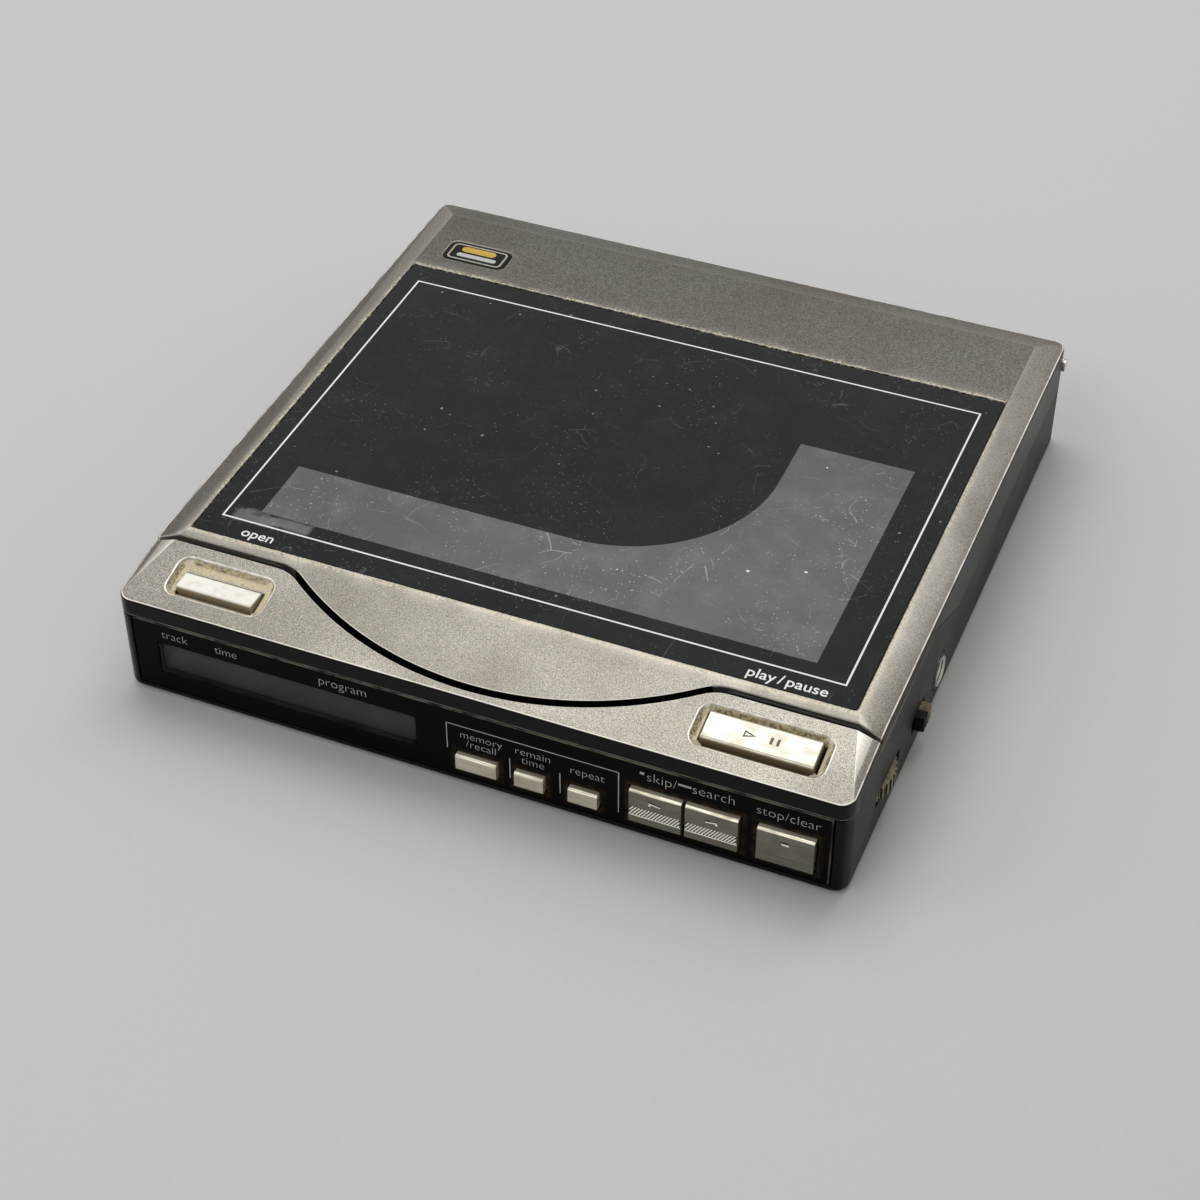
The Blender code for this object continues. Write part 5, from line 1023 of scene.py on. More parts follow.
# The same anodised skin without brush lines on the two top keys, brighter.
TOP_KEY_METAL = TopKeyMetal("satin_champagne_aluminium", "#dcd6c7", 0.36, metallic=0.5,
                            second="#c6bfae", grain_mm=(5.0, 0.12, 0.12), grain_share=0.5,
                            depth_mm=0.005, grime="#a39578", grime_mm=2.5, grime_share=0.3,
                            worn_and_highlit_tone="#8d7c5e", worn_and_highlit_mm=0.2, worn_and_highlit_share=0.45)
# The open key's skin: near white and matt.
OPEN_KEY_METAL = TopKeyMetal("pale_matt_champagne_aluminium", "#fffdf4", 0.4, second="#f1ead9",
                             grain_mm=(5.0, 0.12, 0.12), grain_share=0.5, depth_mm=0.005,
                             grime="#b5a98d", grime_mm=2.5, grime_share=0.3, worn_and_highlit_tone="#8d7c5e",
                             worn_and_highlit_mm=0.2, worn_and_highlit_share=0.45)
# Shade inside an engraved mark, where the tool cut through the anodised skin.
MARK_DARK = Finish("engraved_aluminium", "#26231d", 0.6, metallic=0.3, second="#3a352b",
                   grain_mm=0.2)
# The volume wheel: ridges rubbed and full of beige dust, painted shade in the valleys between
# them.
WHEEL_PLASTIC = KnurledWheel("knurled_abs_wheel", "#22201b", 0.5, level=0.2, second="#302c24",
                             depth_mm=0.01, grain_mm=0.2)
# The switch knob: black, beige dust on its rear half.
SWITCH_PLASTIC = DustyKnob("satin_abs_switch_knob", "#0b0b0b", 0.42, level=0.15, second="#141413",
                           depth_mm=0.01, grain_mm=0.2, worn_and_highlit_tone="#3a372f", worn_and_highlit_mm=0.12,
                           worn_and_highlit_share=0.5)
# Socket bodies: plain black moulding.
SOCKET = Finish("moulded_nylon_socket", "#131314", 0.48, second="#1c1c1d", depth_mm=0.01)
# Rolled and nickel plated steel: cold grey, faint rolling lines.
STEEL = Finish("nickel_plated_steel", "#a5a5a1", 0.3, metallic=1.0, second="#8e8e8a",
               grain_mm=(4.0, 0.12, 0.12), grain_share=0.5, grime="#7f7a70", grime_share=0.3)
# Bright chrome on a turned ring or pin: clean, mirror-like, a few dull spots.
CHROME = Finish("bright_chrome_plate", "#dedbd2", 0.2, metallic=0.9, second="#c2bdb0",
                grain_mm=0.8, grime="#a49a84", grime_mm=1.5, swing=0.05)
# Pressure die-cast zinc: dull, slightly pitted.
DIECAST = Finish("pressure_diecast_zinc", "#8f9296", 0.42, metallic=0.9, second="#7b7e82",
                 grain_mm=0.35, depth_mm=0.015)
# Natural acetal: warm white, faintly waxy.
ACETAL = Finish("moulded_acetal", "#d8d5cb", 0.38, second="#cdc9bd", grain_mm=0.6, grime="#b8b09c",
                grime_share=0.25)
# Free-cutting brass, turned: fine rings across the axis.
BRASS = Finish("turned_brass", "#c3a05c", 0.27, metallic=1.0, second="#a98845",
               grain_mm=(0.1, 0.1, 2.0))
# Coated lens glass: deep blue violet bloom.
LENS_GLASS = Finish("coated_lens_glass", "#232a52", 0.05, coat=0.8, coat_roughness=0.03,
                    second="#38306a", grain_mm=2.0, swing=0.02)
# Solder mask over copper: green, tracks drawn as paler broken lines 0.8 mm wide.
BOARD = Finish("solder_mask_on_copper", "#1d4a33", 0.35, second="#33704c",
               grain_mm=(6.0, 0.8, 4.0), grain_share=0.7, grain_contrast=0.05, coat=0.3)
# Moulded rubber: dull black with a bloom of dust.
RUBBER = Finish("moulded_rubber", "#1d1d1c", 0.75, second="#2a2a28", depth_mm=0.02,
                grime="#3d3a33", grime_share=0.4)
# Screen-printed ink: flat off-white.
WHITE_INK = Finish("white_screen_ink", "#f3f4ef", 0.45, second="#dfe0da", grain_mm=0.25,
                   grime="#c9cac2", grime_mm=4.0)
# The same ink thinner and grubbier on the front panel.
GREY_INK = Finish("grey_screen_ink", "#b4b6b0", 0.5, second="#979992", grain_mm=0.25,
                  grime="#7a7466", grime_mm=4.0, grime_share=0.35)
# Dark ink filled in the engraved marks of the top keys.
DARK_INK = Finish("brown_black_engraving_fill", "#6a604c", 0.6, second="#857a63", grain_mm=0.2)
# Hot-stamped foil on the badge: gold and silver bands on black.
GOLD_FOIL = Finish("gold_stamping_foil", "#f0cf6a", 0.35, metallic=0.7, second="#c9962f",
                   grain_mm=0.5, grain_share=0.6)
SILVER_FOIL = Finish("silver_stamping_foil", "#e6e6e2", 0.35, metallic=0.7, second="#a8a6a0",
                     grain_mm=0.5, grain_share=0.5)
# Pressed felt-like rubber ring that the disc lies on.
MAT_RUBBER = Finish("moulded_turntable_ring", "#262626", 0.7, second="#343432", grain_mm=0.15,
                    depth_mm=0.02)
# Backdrop paper under the object: pale and matt, with a faint grain.
PAPER = Finish("pale_backdrop_paper", "#c9c9c7", 0.8, second="#c4c4c2", grain_mm=0.8, swing=0.04)


# ---------------------------------------------------------------------------------------------
# Mesh helpers
# ---------------------------------------------------------------------------------------------


def rectangle(low_x: float, low_y: float, high_x: float, high_y: float,
              radius: float = 0.0, steps: int = 6) -> np.ndarray:
    """Outline of a rectangle, its corners quarter circles of the radius.

    Each corner point is the corner's centre plus radius times (cos a, sin a), with a running
    through that corner's quarter turn.

    Args:
        low_x, low_y, high_x, high_y: the sides.
        radius: the corner radius, 0 for sharp corners.
        steps: the points on each corner.

    Returns:
        An (n, 2) array, counterclockwise.
    """
    if radius <= 0:
        return np.array([(low_x, low_y), (high_x, low_y), (high_x, high_y), (low_x, high_y)])
    turn = np.linspace(0, math.pi / 2, steps)
    centres = np.array([(high_x - radius, high_y - radius), (low_x + radius, high_y - radius),
                        (low_x + radius, low_y + radius), (high_x - radius, low_y + radius)])
    angle = turn[None, :] + np.arange(4)[:, None] * math.pi / 2
    ring = np.stack([np.cos(angle), np.sin(angle)], axis=-1) * radius
    return (centres[:, None, :] + ring).reshape(-1, 2)


def facing_front(y: float) -> Matrix:
    """A flat frame at a y in mm: its x is the object's x, its y is up, and it faces the front."""
    return Matrix(((1, 0, 0, 0), (0, 0, -1, y * MM), (0, 1, 0, 0), (0, 0, 0, 1)))


def on_slope(rise: float) -> Matrix:
    """A flat frame over the front cover's slope, its y running up the slope.

    Args:
        rise: how far it lies above the slope, in millimetres.

    Returns:
        The frame.
    """
    turn = Matrix.Rotation(math.atan(CoverPaint.slope_rise), 4, "X")
    return (Matrix.Translation(in_metres(CoverPaint.slope_origin)) @ turn
            @ Matrix.Translation((0, 0, rise * MM)))


class Part(NamedTuple):
    """What every new piece needs: its finish, the body it rides on and its material slot."""

    finish: Finish
    rider: Rider
    slot: str


@dataclass
class Workbench:
    """Turns arrays into pieces, dresses them and puts them on their bodies.

    Outlines, heights and profiles are in millimetres.
    """

    made: list[str] = field(default_factory=list)
    smooth_below: float = math.radians(35)
    sharp_above: float = math.radians(28)
    flat_below: float = math.radians(1)
    merge: float = 0.03
    outer_wall: float = 62.2
    looks_up: float = 0.85
    looks_down: float = -0.3

    def place(self, name: str, mesh: bpy.types.Mesh, part: Part,
              smooth: bool = False) -> bpy.types.Object:
        """Link a finished mesh, dress it and let it ride on its body.

        Args:
            name: the piece's name.
            mesh: its mesh, in metres.
            part: its finish, body and slot.
            smooth: whether faces shade smoothly below an angle.

        Returns:
            The object.
        """
        finish, rider, slot = part
        mesh.materials.clear()
        mesh.materials.append(finish.build())
        made = bpy.data.objects.new(name, mesh)
        bpy.context.scene.collection.objects.link(made)
        if smooth:
            mesh.set_sharp_from_angle(angle=self.smooth_below)
            mesh.polygons.foreach_set("use_smooth", np.ones(len(mesh.polygons), bool))
        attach(made, rider.value)
        self.made.append(name)
        LOG.info("%s: %d faces on %s", name, len(mesh.polygons), rider.value)
        return made

    def piece(self, name: str, points: np.ndarray, faces: list, part: Part,
              smooth: bool = False) -> bpy.types.Object:
        """Make a piece from points and faces.

        Args:
            name: the piece's name.
            points: (n, 3) points in metres.
            faces: lists of point numbers, outwards.
            part: its finish, body and slot.
            smooth: whether faces shade smoothly below an angle.

        Returns:
            The object.
        """
        mesh = bpy.data.meshes.new(name)
        mesh.from_pydata(points.tolist(), [], faces)
        return self.place(name, mesh, part, smooth)

    def plate(self, name: str, outlines: list[np.ndarray], low: float, high: float, part: Part,
              frame: Matrix | None = None) -> bpy.types.Object:
        """A closed plate with holes.

        Every outline's points stand at both heights. A wall joins point k to point k + 1 of its
        outline, and both faces are filled between the outlines.

        Args:
            name: the piece's name.
            outlines: the outer outline and any holes, each (n, 2).
            low, high: the plate's two heights in its frame.
            part: its finish, body and slot.
            frame: where the plate's flat frame lies.

        Returns:
            The object.
        """
        shape = bmesh.new()
        for height in (low * MM, high * MM):
            edges = []
            for outline in outlines:
                ring = [shape.verts.new((x, y, height)) for x, y in outline * MM]
                edges += [shape.edges.new((ring[k - 1], ring[k])) for k in range(len(ring))]
            bmesh.ops.triangle_fill(shape, edges=edges, use_beauty=True)
        shape.verts.ensure_lookup_table()
        total = sum(len(outline) for outline in outlines)
        start = 0
        for outline in outlines:
            count = len(outline)
            for k in range(count):
                a, b = start + (k - 1) % count, start + k
                shape.faces.new([shape.verts[n] for n in (a, b, b + total, a + total)])
            start += count
        bmesh.ops.recalc_face_normals(shape, faces=shape.faces)
        mesh = bpy.data.meshes.new(name)
        shape.to_mesh(mesh)
        shape.free()
        if frame:
            mesh.transform(frame)
        return self.place(name, mesh, part)

    def legend(self, name: str, words: str, x: float, y: float, width: float, part: Part,
               frame: Matrix, thinning: float = 0.02) -> bpy.types.Object:
        """Plain printed words as a thin mesh, half of its thickness sunk in the surface.

        Args:
            name: the piece's name.
            words: the generic words, with line breaks.
            x, y: the middle of the words in the flat frame.
            width: the width of the longest line.
            part: its finish, body and slot.
            frame: where the words lie.
            thinning: how far each stroke's edges are drawn in, in letter heights.

        Returns:
            The object.
        """
        curve = bpy.data.curves.new(name, "FONT")
        curve.body = words
        curve.align_x = "CENTER"
        curve.align_y = "CENTER"
        curve.space_line = 0.8
        curve.space_word = 0.5
        curve.resolution_u = 3
        curve.offset = -thinning
        drawn = bpy.data.objects.new(name, curve)
        bpy.context.scene.collection.objects.link(drawn)
        bpy.context.view_layer.update()
        scale = width * MM / drawn.dimensions.x
        curve.extrude = -SUNK * MM / scale
        bpy.context.view_layer.update()
        shown = drawn.evaluated_get(bpy.context.evaluated_depsgraph_get())
        mesh = bpy.data.meshes.new_from_object(shown)
        bpy.data.objects.remove(drawn)
        mesh.transform(frame @ Matrix.Translation((x * MM, y * MM, 0))
                       @ Matrix.Scale(scale, 4))
        return self.place(name, mesh, part)

    def lathe(self, name: str, profile: np.ndarray, centre: Triple, part: Part,
              steps: int = 64, turn: Matrix | None = None) -> bpy.types.Object:
        """A closed profile turned about an upright axis.

        Point (i, k) is the centre plus (r_k cos a_i, r_k sin a_i, z_k), a_i over one turn.

        Args:
            name: the piece's name.
            profile: (m, 2) radii and heights, closed, counterclockwise in the (r, z) plane.
            centre: a point of the axis.
            part: its finish, body and slot.
            steps: the steps round the axis.
            turn: a turn of the whole shape about the centre, which keeps its handedness.

        Returns:
            The object.
        """
        angle = np.linspace(0, 2 * math.pi, steps, endpoint=False)
        radius, height = profile[:, 0] * MM, profile[:, 1] * MM
        points = np.stack([np.outer(np.cos(angle), radius), np.outer(np.sin(angle), radius),
                           np.tile(height, (steps, 1))], axis=-1).reshape(-1, 3)
        if turn:
            points = points @ np.array(turn.to_3x3()).T
        points = points + np.array(in_metres(centre))
        count = len(profile)
        i, k = np.meshgrid(np.arange(steps), np.arange(count), indexing="ij")
        i2, k2 = (i + 1) % steps, (k + 1) % count
        faces = np.stack([i * count + k, i2 * count + k, i2 * count + k2, i * count + k2],
                         axis=-1).reshape(-1, 4)
        return self.piece(name, points, faces.tolist(), part, smooth=True)

    def sharp(self, shape: bmesh.types.BMesh, which: Rounding) -> list[bmesh.types.BMEdge]:
        """The sharp convex edges that a rounding asks for.

        Args:
            shape: the mesh.
            which: the rounding.

        Returns:
            The edges.
        """
        picked = []
        for edge in shape.edges:
            if not edge.is_convex or edge.calc_face_angle() < self.sharp_above:
                continue
            low, high = sorted(face.normal.z for face in edge.link_faces)
            middle = (edge.verts[0].co + edge.verts[1].co) / 2
            wanted = {Rounding.ALL: True,
                      Rounding.UPPER: high > self.looks_up and low > self.looks_down,
                      Rounding.OUTER: max(abs(middle.x), abs(middle.y)) > self.outer_wall * MM,
                      Rounding.LEVEL: high > self.looks_up or low < -self.looks_up}
            if wanted[which]:
                picked.append(edge)
        return picked

    def rounded(self, node: bpy.types.Object, width: float, which: Rounding, part: Part,
                reshape: Callable[[bmesh.types.BMesh], None] | None = None
                ) -> bpy.types.Object:
        """A copy of a CAD node with sharp edges rounded, standing for the node.

        Args:
            node: the CAD node's object.
            width: how far the rounding reaches from each edge.
            which: the edges to round.
            part: its finish, body and slot.
            reshape: what moves the copy's points before its edges are rounded.

        Returns:
            The object.
        """
        shape = bmesh.new()
        shape.from_mesh(node.data)
        bmesh.ops.remove_doubles(shape, verts=shape.verts, dist=self.merge * MM)
        bmesh.ops.dissolve_limit(shape, angle_limit=self.flat_below, verts=shape.verts,
                                 edges=shape.edges)
        if reshape:
            reshape(shape)
        bmesh.ops.bevel(shape, geom=self.sharp(shape, which), offset=width * MM,
                        offset_type="OFFSET", segments=2, profile=0.5, affect="EDGES",
                        clamp_overlap=which == Rounding.ALL)
        mesh = bpy.data.meshes.new(node.name + "_rounded")
        shape.to_mesh(mesh)
        shape.free()
        made = self.place(node.name + "_rounded", mesh, part, smooth=True)
        even = made.modifiers.new("even shading", "WEIGHTED_NORMAL")
        even.keep_sharp = True
        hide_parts(node.name)
        return made


# ---------------------------------------------------------------------------------------------
# Sub-assemblies, with their sizes in millimetres
# ---------------------------------------------------------------------------------------------


@dataclass
class Lid:
    """The hinged lid's window, its printing and its badge."""

    window: Sides = (-57.75, -46.0, 57.75, 38.7)
    window_radius: float = 0.6
    bottom: float = 21.9
    top: float = 22.9
    view_left: float = -49.0
    view_right: float = 48.8
    view_front: float = -38.2
    view_back: float = 13.9
    view_arm: float = 28.3
    view_step: float = -24.85
    bend_radius: float = 26.8
    bend_steps: int = 40
    line: Sides = (-54.75, -41.45, 54.75, 34.2)
    line_width: float = 0.32
    # Name, words, x and width of each printed word, and the height that they share.
    legends: tuple[tuple[str, str, float, float], ...] = (
        ("open_legend", "open", -46.5, 5.8), ("play_legend", "play / pause", 46.0, 13.2))
    legend_y: float = -44.05
    legend_thinning: float = -0.008
    badge_centre: tuple[float, float] = (-47.9, 46.0)
    badge_top: float = 23.05
    badge_half: tuple[float, float] = (5.55, 2.55)
    badge_radii: tuple[float, float] = (1.0, 0.7)
    badge_edge: float = 0.35
    rim_foil: float = 0.02
    bar_foil: float = 0.03
    # Name, sides from the badge's middle and foil of each bar.
    bars: tuple[tuple[str, Sides, Finish], ...] = (
        ("badge_gold_bar", (-3.6, 0.2, 3.4, 1.9), GOLD_FOIL),
        ("badge_silver_bar", (-3.9, -1.5, 4.2, -0.35), SILVER_FOIL))
    bar_round_share: float = 0.48

    def view_outline(self) -> np.ndarray:
        """The clear area: an L whose inner corner is a quarter circle.

        The quarter circle touches both arms' inner edges, its centre one radius from each.

        Returns:
            An (n, 2) array, counterclockwise.
        """
        angle = np.linspace(0, -math.pi / 2, self.bend_steps)
        bend = np.stack([self.view_arm - self.bend_radius * (1 - np.cos(angle)),
                         self.view_step + self.bend_radius * (1 + np.sin(angle))], axis=-1)
        corners = np.array([(self.view_left, self.view_front), (self.view_right, self.view_front),
                            (self.view_right, self.view_back), (self.view_arm, self.view_back)])
        return np.concatenate([corners, bend, [(self.view_left, bend[-1, 1])]])

    def build(self, bench: Workbench) -> None:
        """Make the window in its two parts, the printed line, the words and the badge.

        Args:
            bench: makes the pieces.
        """
        outer = rectangle(*self.window, radius=self.window_radius)
        view = self.view_outline()
        black = bench.plate("lid_window_printed", [outer, view], self.bottom, self.top,
                            Part(WINDOW_BLACK, Rider.LID, "smoked_acrylic"))
        clear = bench.plate("lid_window_clear", [view], self.bottom, self.top,
                            Part(WINDOW_CLEAR, Rider.LID, "smoked_acrylic"))
        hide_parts("lid_window")
        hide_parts("lid_window")
        printed = Part(WHITE_INK, Rider.LID, "smoked_acrylic")
        wide = np.array([1, 1, -1, -1]) * self.line_width
        bench.plate("window_border_line",
                    [rectangle(*self.line), rectangle(*(np.array(self.line) + wide))],
                    self.top + SUNK, self.top + PROUD, printed)
        flat = Matrix.Translation((0, 0, self.top * MM))
        for name, words, x, width in self.legends:
            bench.legend(name, words, x, self.legend_y, width, printed, flat,
                         self.legend_thinning)
        self.badge(bench)

    def badge(self, bench: Workbench) -> None:
        """A pale rim and two plain foil bars with round ends, gold over silver.

        Args:
            bench: makes the pieces.
        """
        middle = np.array(self.badge_centre * 2)
        half, edge, top = np.array(self.badge_half), self.badge_edge, self.badge_top
        outer = rectangle(*(middle + np.concatenate([-half, half])), radius=self.badge_radii[0])
        inner = rectangle(*(middle + np.concatenate([edge - half, half - edge])),
                          radius=self.badge_radii[1])
        bench.plate("badge_rim", [outer, inner], top - self.rim_foil, top + self.rim_foil,
                    Part(BADGE_RIM, Rider.LID, "gloss_panel"))
        for name, sides, foil in self.bars:
            radius = (sides[3] - sides[1]) * self.bar_round_share
            bench.plate(name, [rectangle(*(middle + sides), radius=radius)],
                        top - self.rim_foil, top + self.bar_foil,
                        Part(foil, Rider.LID, "gloss_panel"))


@dataclass
class FrontPanel:
    """Printing on the front panel."""

    face: float = -63.0
    line: float = 0.16
    bracket_left: float = -3.75
    bracket_right: float = 25.6
    bracket_top: float = 12.9
    left_foot: float = 7.4
    right_foot: float = 4.2
    dividers: tuple[float, ...] = (7.1, 15.7)
    divider_top: float = 9.0
    divider_foot: float = 4.6
    # Name, words, x, height and width of each printed word.
    legends: tuple[tuple[str, str, float, float, float], ...] = (
        ("track_legend", "track", -52.6, 13.9, 4.8),
        ("time_legend", "time", -43.1, 13.9, 4.0),
        ("program_legend", "program", -22.0, 13.9, 8.4),
        ("memory_legend", "memory\n/recall", 2.2, 10.25, 7.2),
        ("remain_legend", "remain\ntime", 11.1, 10.25, 5.9),
        ("repeat_legend", "repeat", 20.3, 10.4, 5.7),
        ("skip_legend", "skip/", 32.7, 13.75, 4.9),
        ("search_legend", "search", 41.2, 13.95, 6.8),
        ("stop_legend", "stop/clear", 53.25, 13.75, 10.2))
    skip_square: Sides = (29.1, 14.0, 29.85, 14.5)
    search_dash: Sides = (35.4, 13.95, 37.55, 14.35)

    def bars(self) -> dict[str, Sides]:
        """The bracket round the small keys, the two marks and the short dividers.

        Returns:
            The sides of each bar by its name.
        """
        half, left, right, top = (self.line / 2, self.bracket_left, self.bracket_right,
                                  self.bracket_top)
        bars = {"bracket_top_line": (left, top - half, right, top + half),
                "bracket_left_line": (left - half, self.left_foot, left + half, top + half),
                "bracket_right_line": (right - half, self.right_foot, right + half, top + half),
                "skip_square": self.skip_square, "search_dash": self.search_dash}
        for index, x in enumerate(self.dividers):
            bars["divider_line_" + str(index + 1)] = (x - half, self.divider_foot, x + half,
                                                      self.divider_top)
        return bars

    def build(self, bench: Workbench) -> None:
        """Print the bars and the words.

        Args:
            bench: makes the pieces.
        """
        front = facing_front(self.face)
        printed = Part(GREY_INK, Rider.BASE, "gloss_panel")
        for name, sides in self.bars().items():
            bench.plate(name, [rectangle(*sides)], SUNK, PROUD, printed, front)
        for name, words, x, z, width in self.legends:
            bench.legend(name, words, x, z, width, printed, front)


@dataclass
class FrontKeys:
    """The skins of the six front keys, their ribs and their engraved marks."""

    tip: float = -63.86
    lip: float = -61.2
    end: float = -60.4
    rim: float = 0.85
    base: float = 3.9
    facet: float = 0.4
    foot: float = 0.2
    rounding: float = 0.08
    # Name, left, right and top of each key.
    keys: tuple[tuple[str, float, float, float], ...] = (
        ("memory_key", -2.1, 5.0, 7.0), ("remain_key", 8.1, 13.1, 7.0),
        ("repeat_key", 17.3, 22.3, 7.0), ("skip_back_key", 27.6, 36.3, 10.85),
        ("skip_forward_key", 36.9, 45.6, 10.85), ("stop_key", 48.6, 57.9, 10.85))
    band_low: float = 5.65
    band_high: float = 7.35
    band_inset: float = 0.05
    band_lip: float = 0.2
    rib_pitch: float = 0.54
    rib_lean: float = 1.2
    rib_wide: float = 0.29
    rib_rise: float = 0.03
    rib_inset: float = 0.06
    rib_start: float = 0.1
    rib_least: float = 0.08
    bed_proud: float = 0.004
    # Every mark's sizes count from its own middle.
    mark_height: float = 8.9
    mark_bar: float = 0.24
    mark_half: float = 0.95
    mark_rise: float = 0.14
    hook: tuple[float, float] = (0.3, 0.1)
    hook_tip: float = 0.36
    hook_foot: float = 0.3
    dot: Sides = (-0.2, -0.5, 0.2, -0.1)
    dot_radius: float = 0.1
    dot_reach: float = 0.85
    stop_shade: Sides = (-0.62, -0.05, 0.62, 0.35)
    stop_lip: Sides = (-0.62, -0.4, 0.62, -0.05)
    shade_proud: float = 0.008
    lip_proud: float = 0.016
    dot_proud: float = 0.02

    def build(self, bench: Workbench) -> None:
        """Make every key's skin, and the ribs and engraved marks of the large ones.

        Args:
            bench: makes the pieces.
        """
        for name, left, right, top in self.keys:
            self.skin(bench, name, left, right, top)
            middle = np.array([(left + right) / 2, self.mark_height])
            if name.startswith("skip"):
                self.ribs(bench, name, left, right)
                self.skip_mark(bench, name, middle)
            if name == "stop_key":
                self.mark(bench, "stop_mark_shade", name, rectangle(*self.stop_shade) + middle,
                          MARK_DARK, self.shade_proud)
                self.mark(bench, "stop_mark_lip", name, rectangle(*self.stop_lip) + middle,
                          KEY_POLISH_AND_HIGHLIGHT, self.lip_proud)

    def skin(self, bench: Workbench, name: str, left: float, right: float,
             top: float) -> None:
        """A key's (y, z) profile carried along x, its upper front edge a facet at 45 degrees.

        Args:
            bench: makes the piece.
            name: the key.
            left, right, top: its sides.
        """
        tip, lip, base, end, rim = self.tip, self.lip, self.base, self.end, self.rim
        profile = np.array([(tip + self.foot, base), (lip, base), (lip, base - rim),
                            (end, base - rim), (end, top + rim), (lip, top + rim), (lip, top),
                            (tip + self.facet, top), (tip, top - self.facet),
                            (tip, base + self.foot)])
        count = len(profile)
        ends = [np.column_stack([np.full(count, x), profile]) for x in (left, right)]
        walls = [[k, (k + 1) % count, (k + 1) % count + count, k + count] for k in range(count)]
        faces = [list(range(count))[::-1], list(range(count, 2 * count))] + walls
        made = bench.piece(name + "_cap", np.concatenate(ends) * MM, faces,
                           Part(KEY_METAL, Rider(name), "key_paint"))
        shape = bmesh.new()
        shape.from_mesh(made.data)
        bmesh.ops.recalc_face_normals(shape, faces=shape.faces)
        shape.to_mesh(made.data)
        shape.free()
        bevel = made.modifiers.new("rounded edges", "BEVEL")
        bevel.width = self.rounding * MM
        bevel.segments = 2
        bevel.limit_method = "ANGLE"
        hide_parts(name)

    def mark(self, bench: Workbench, name: str, key: str, outline: np.ndarray, finish: Finish,
             rise: float) -> None:
        """One tone of an engraved mark, as a thin plate on the key's front face."""
        bench.plate(name, [outline], SUNK, rise, Part(finish, Rider(key), "key_paint"),
                    facing_front(self.tip))

    def skip_mark(self, bench: Workbench, name: str, middle: np.ndarray) -> None:
        """A leaning stroke with a hook at both ends: its shade, its lit lip and a bright dot.

        Args:
            bench: makes the pieces.
            name: the key, whose stroke leans the other way on the other key.
            middle: the mark's middle.
        """
        side = 1 if "forward" in name else -1
        bar, half, rise = self.mark_bar, self.mark_half, self.mark_rise * side
        shade = np.array([(-half, -rise), (half, rise), (half, rise + self.hook_tip), self.hook,
                          (-self.hook[0], self.hook_tip), (-half, self.hook_foot - rise)])
        lit = np.array([(-half, -rise - bar), (half, rise - bar), (half, rise), (-half, -rise)])
        dot = rectangle(*self.dot, radius=self.dot_radius) + (side * self.dot_reach, 0)
        for tone, outline, finish, proud in (("shade", shade, MARK_DARK, self.shade_proud),
                                             ("lip", lit, KEY_POLISH_AND_HIGHLIGHT, self.lip_proud),
                                             ("dot", dot, KEY_POLISH_AND_HIGHLIGHT, self.dot_proud)):
            self.mark(bench, name + "_mark_" + tone, name, outline + middle, finish, proud)

    def ribs(self, bench: Workbench, name: str, left: float, right: float) -> None:
        """Slanting ribs with a triangular section over a dark bed of painted shade, the ribs and
        the lip below them painted as highlights.

        Rib n runs from (x_n, low) to (x_n + lean, high). It is kept where it lies inside the key:
        from share a to share b of its length, with a = (left - x_n) / lean and
        b = (right - wide - x_n) / lean, both held between 0 and 1.

        Args:
            bench: makes the pieces.
            name: the key.
            left, right: its sides.
        """
        low, high, lean, wide = self.band_low, self.band_high, self.rib_lean, self.rib_wide
        from_x, to_x = left + self.band_inset, right - self.band_inset
        self.mark(bench, name + "_rib_bed", name, rectangle(from_x, low, to_x, high),
                  KEY_GROOVE, self.bed_proud)
        self.mark(bench, name + "_rib_lip", name,
                  rectangle(from_x, low - self.band_lip, to_x, low), KEY_POLISH_AND_HIGHLIGHT, PROUD)
        start = np.arange(left - lean + self.rib_start, right - wide - self.rib_start,
                          self.rib_pitch)
        first = np.clip((left + self.rib_inset - start) / lean, 0, 1)
        last = np.clip((right - self.rib_inset - wide - start) / lean, 0, 1)
        kept = last - first > self.rib_least
        start, first, last = start[kept], first[kept], last[kept]
        corners = []
        for share in (first, last):
            for across, proud in ((0, 0), (wide, 0), (wide / 2, self.rib_rise)):
                depth = np.full(len(start), self.tip - self.bed_proud - proud)
                corners.append(np.column_stack([start + share * lean + across, depth,
                                                low + share * (high - low)]))
        points = np.stack(corners, axis=1).reshape(-1, 3) * MM
        faces = []
        for base in range(0, len(start) * 6, 6):
            a, b, c, d, e, f = range(base, base + 6)
            faces += [[a, b, c], [d, f, e], [a, c, f, d], [c, b, e, f], [b, a, d, e]]
        bench.piece(name + "_ribs", points, faces, Part(KEY_POLISH_AND_HIGHLIGHT, Rider(name), "key_paint"))


@dataclass
class TopKeys:
    """The marks engraved in the play key, in the slope's own flat frame."""

    rise: float = 0.3
    # The corners of the hollow triangle, outside and inside.
    play: tuple[tuple[tuple[float, float], ...], ...] = (
        ((43.1, -0.55), (45.2, 0.1), (43.1, 0.75)), ((43.35, -0.15), (44.5, 0.1), (43.35, 0.35)))
    # The sides of the two bars.
    pause: tuple[Sides, ...] = (
        (47.35, -0.55, 47.8, 0.75), (48.45, -0.55, 48.9, 0.75))

    def build(self, bench: Workbench) -> None:
        """Fill the triangle and the two bars.

        Args:
            bench: makes the pieces.
        """
        slope = on_slope(self.rise)
        ink = Part(DARK_INK, Rider.PLAY_KEY, "key_paint")
        bench.plate("play_mark", [np.array(ring) for ring in self.play], SUNK, PROUD, ink, slope)
        for index, sides in enumerate(self.pause):
            bench.plate("pause_mark_" + str(index + 1), [rectangle(*sides)], SUNK, PROUD, ink,
                        slope)


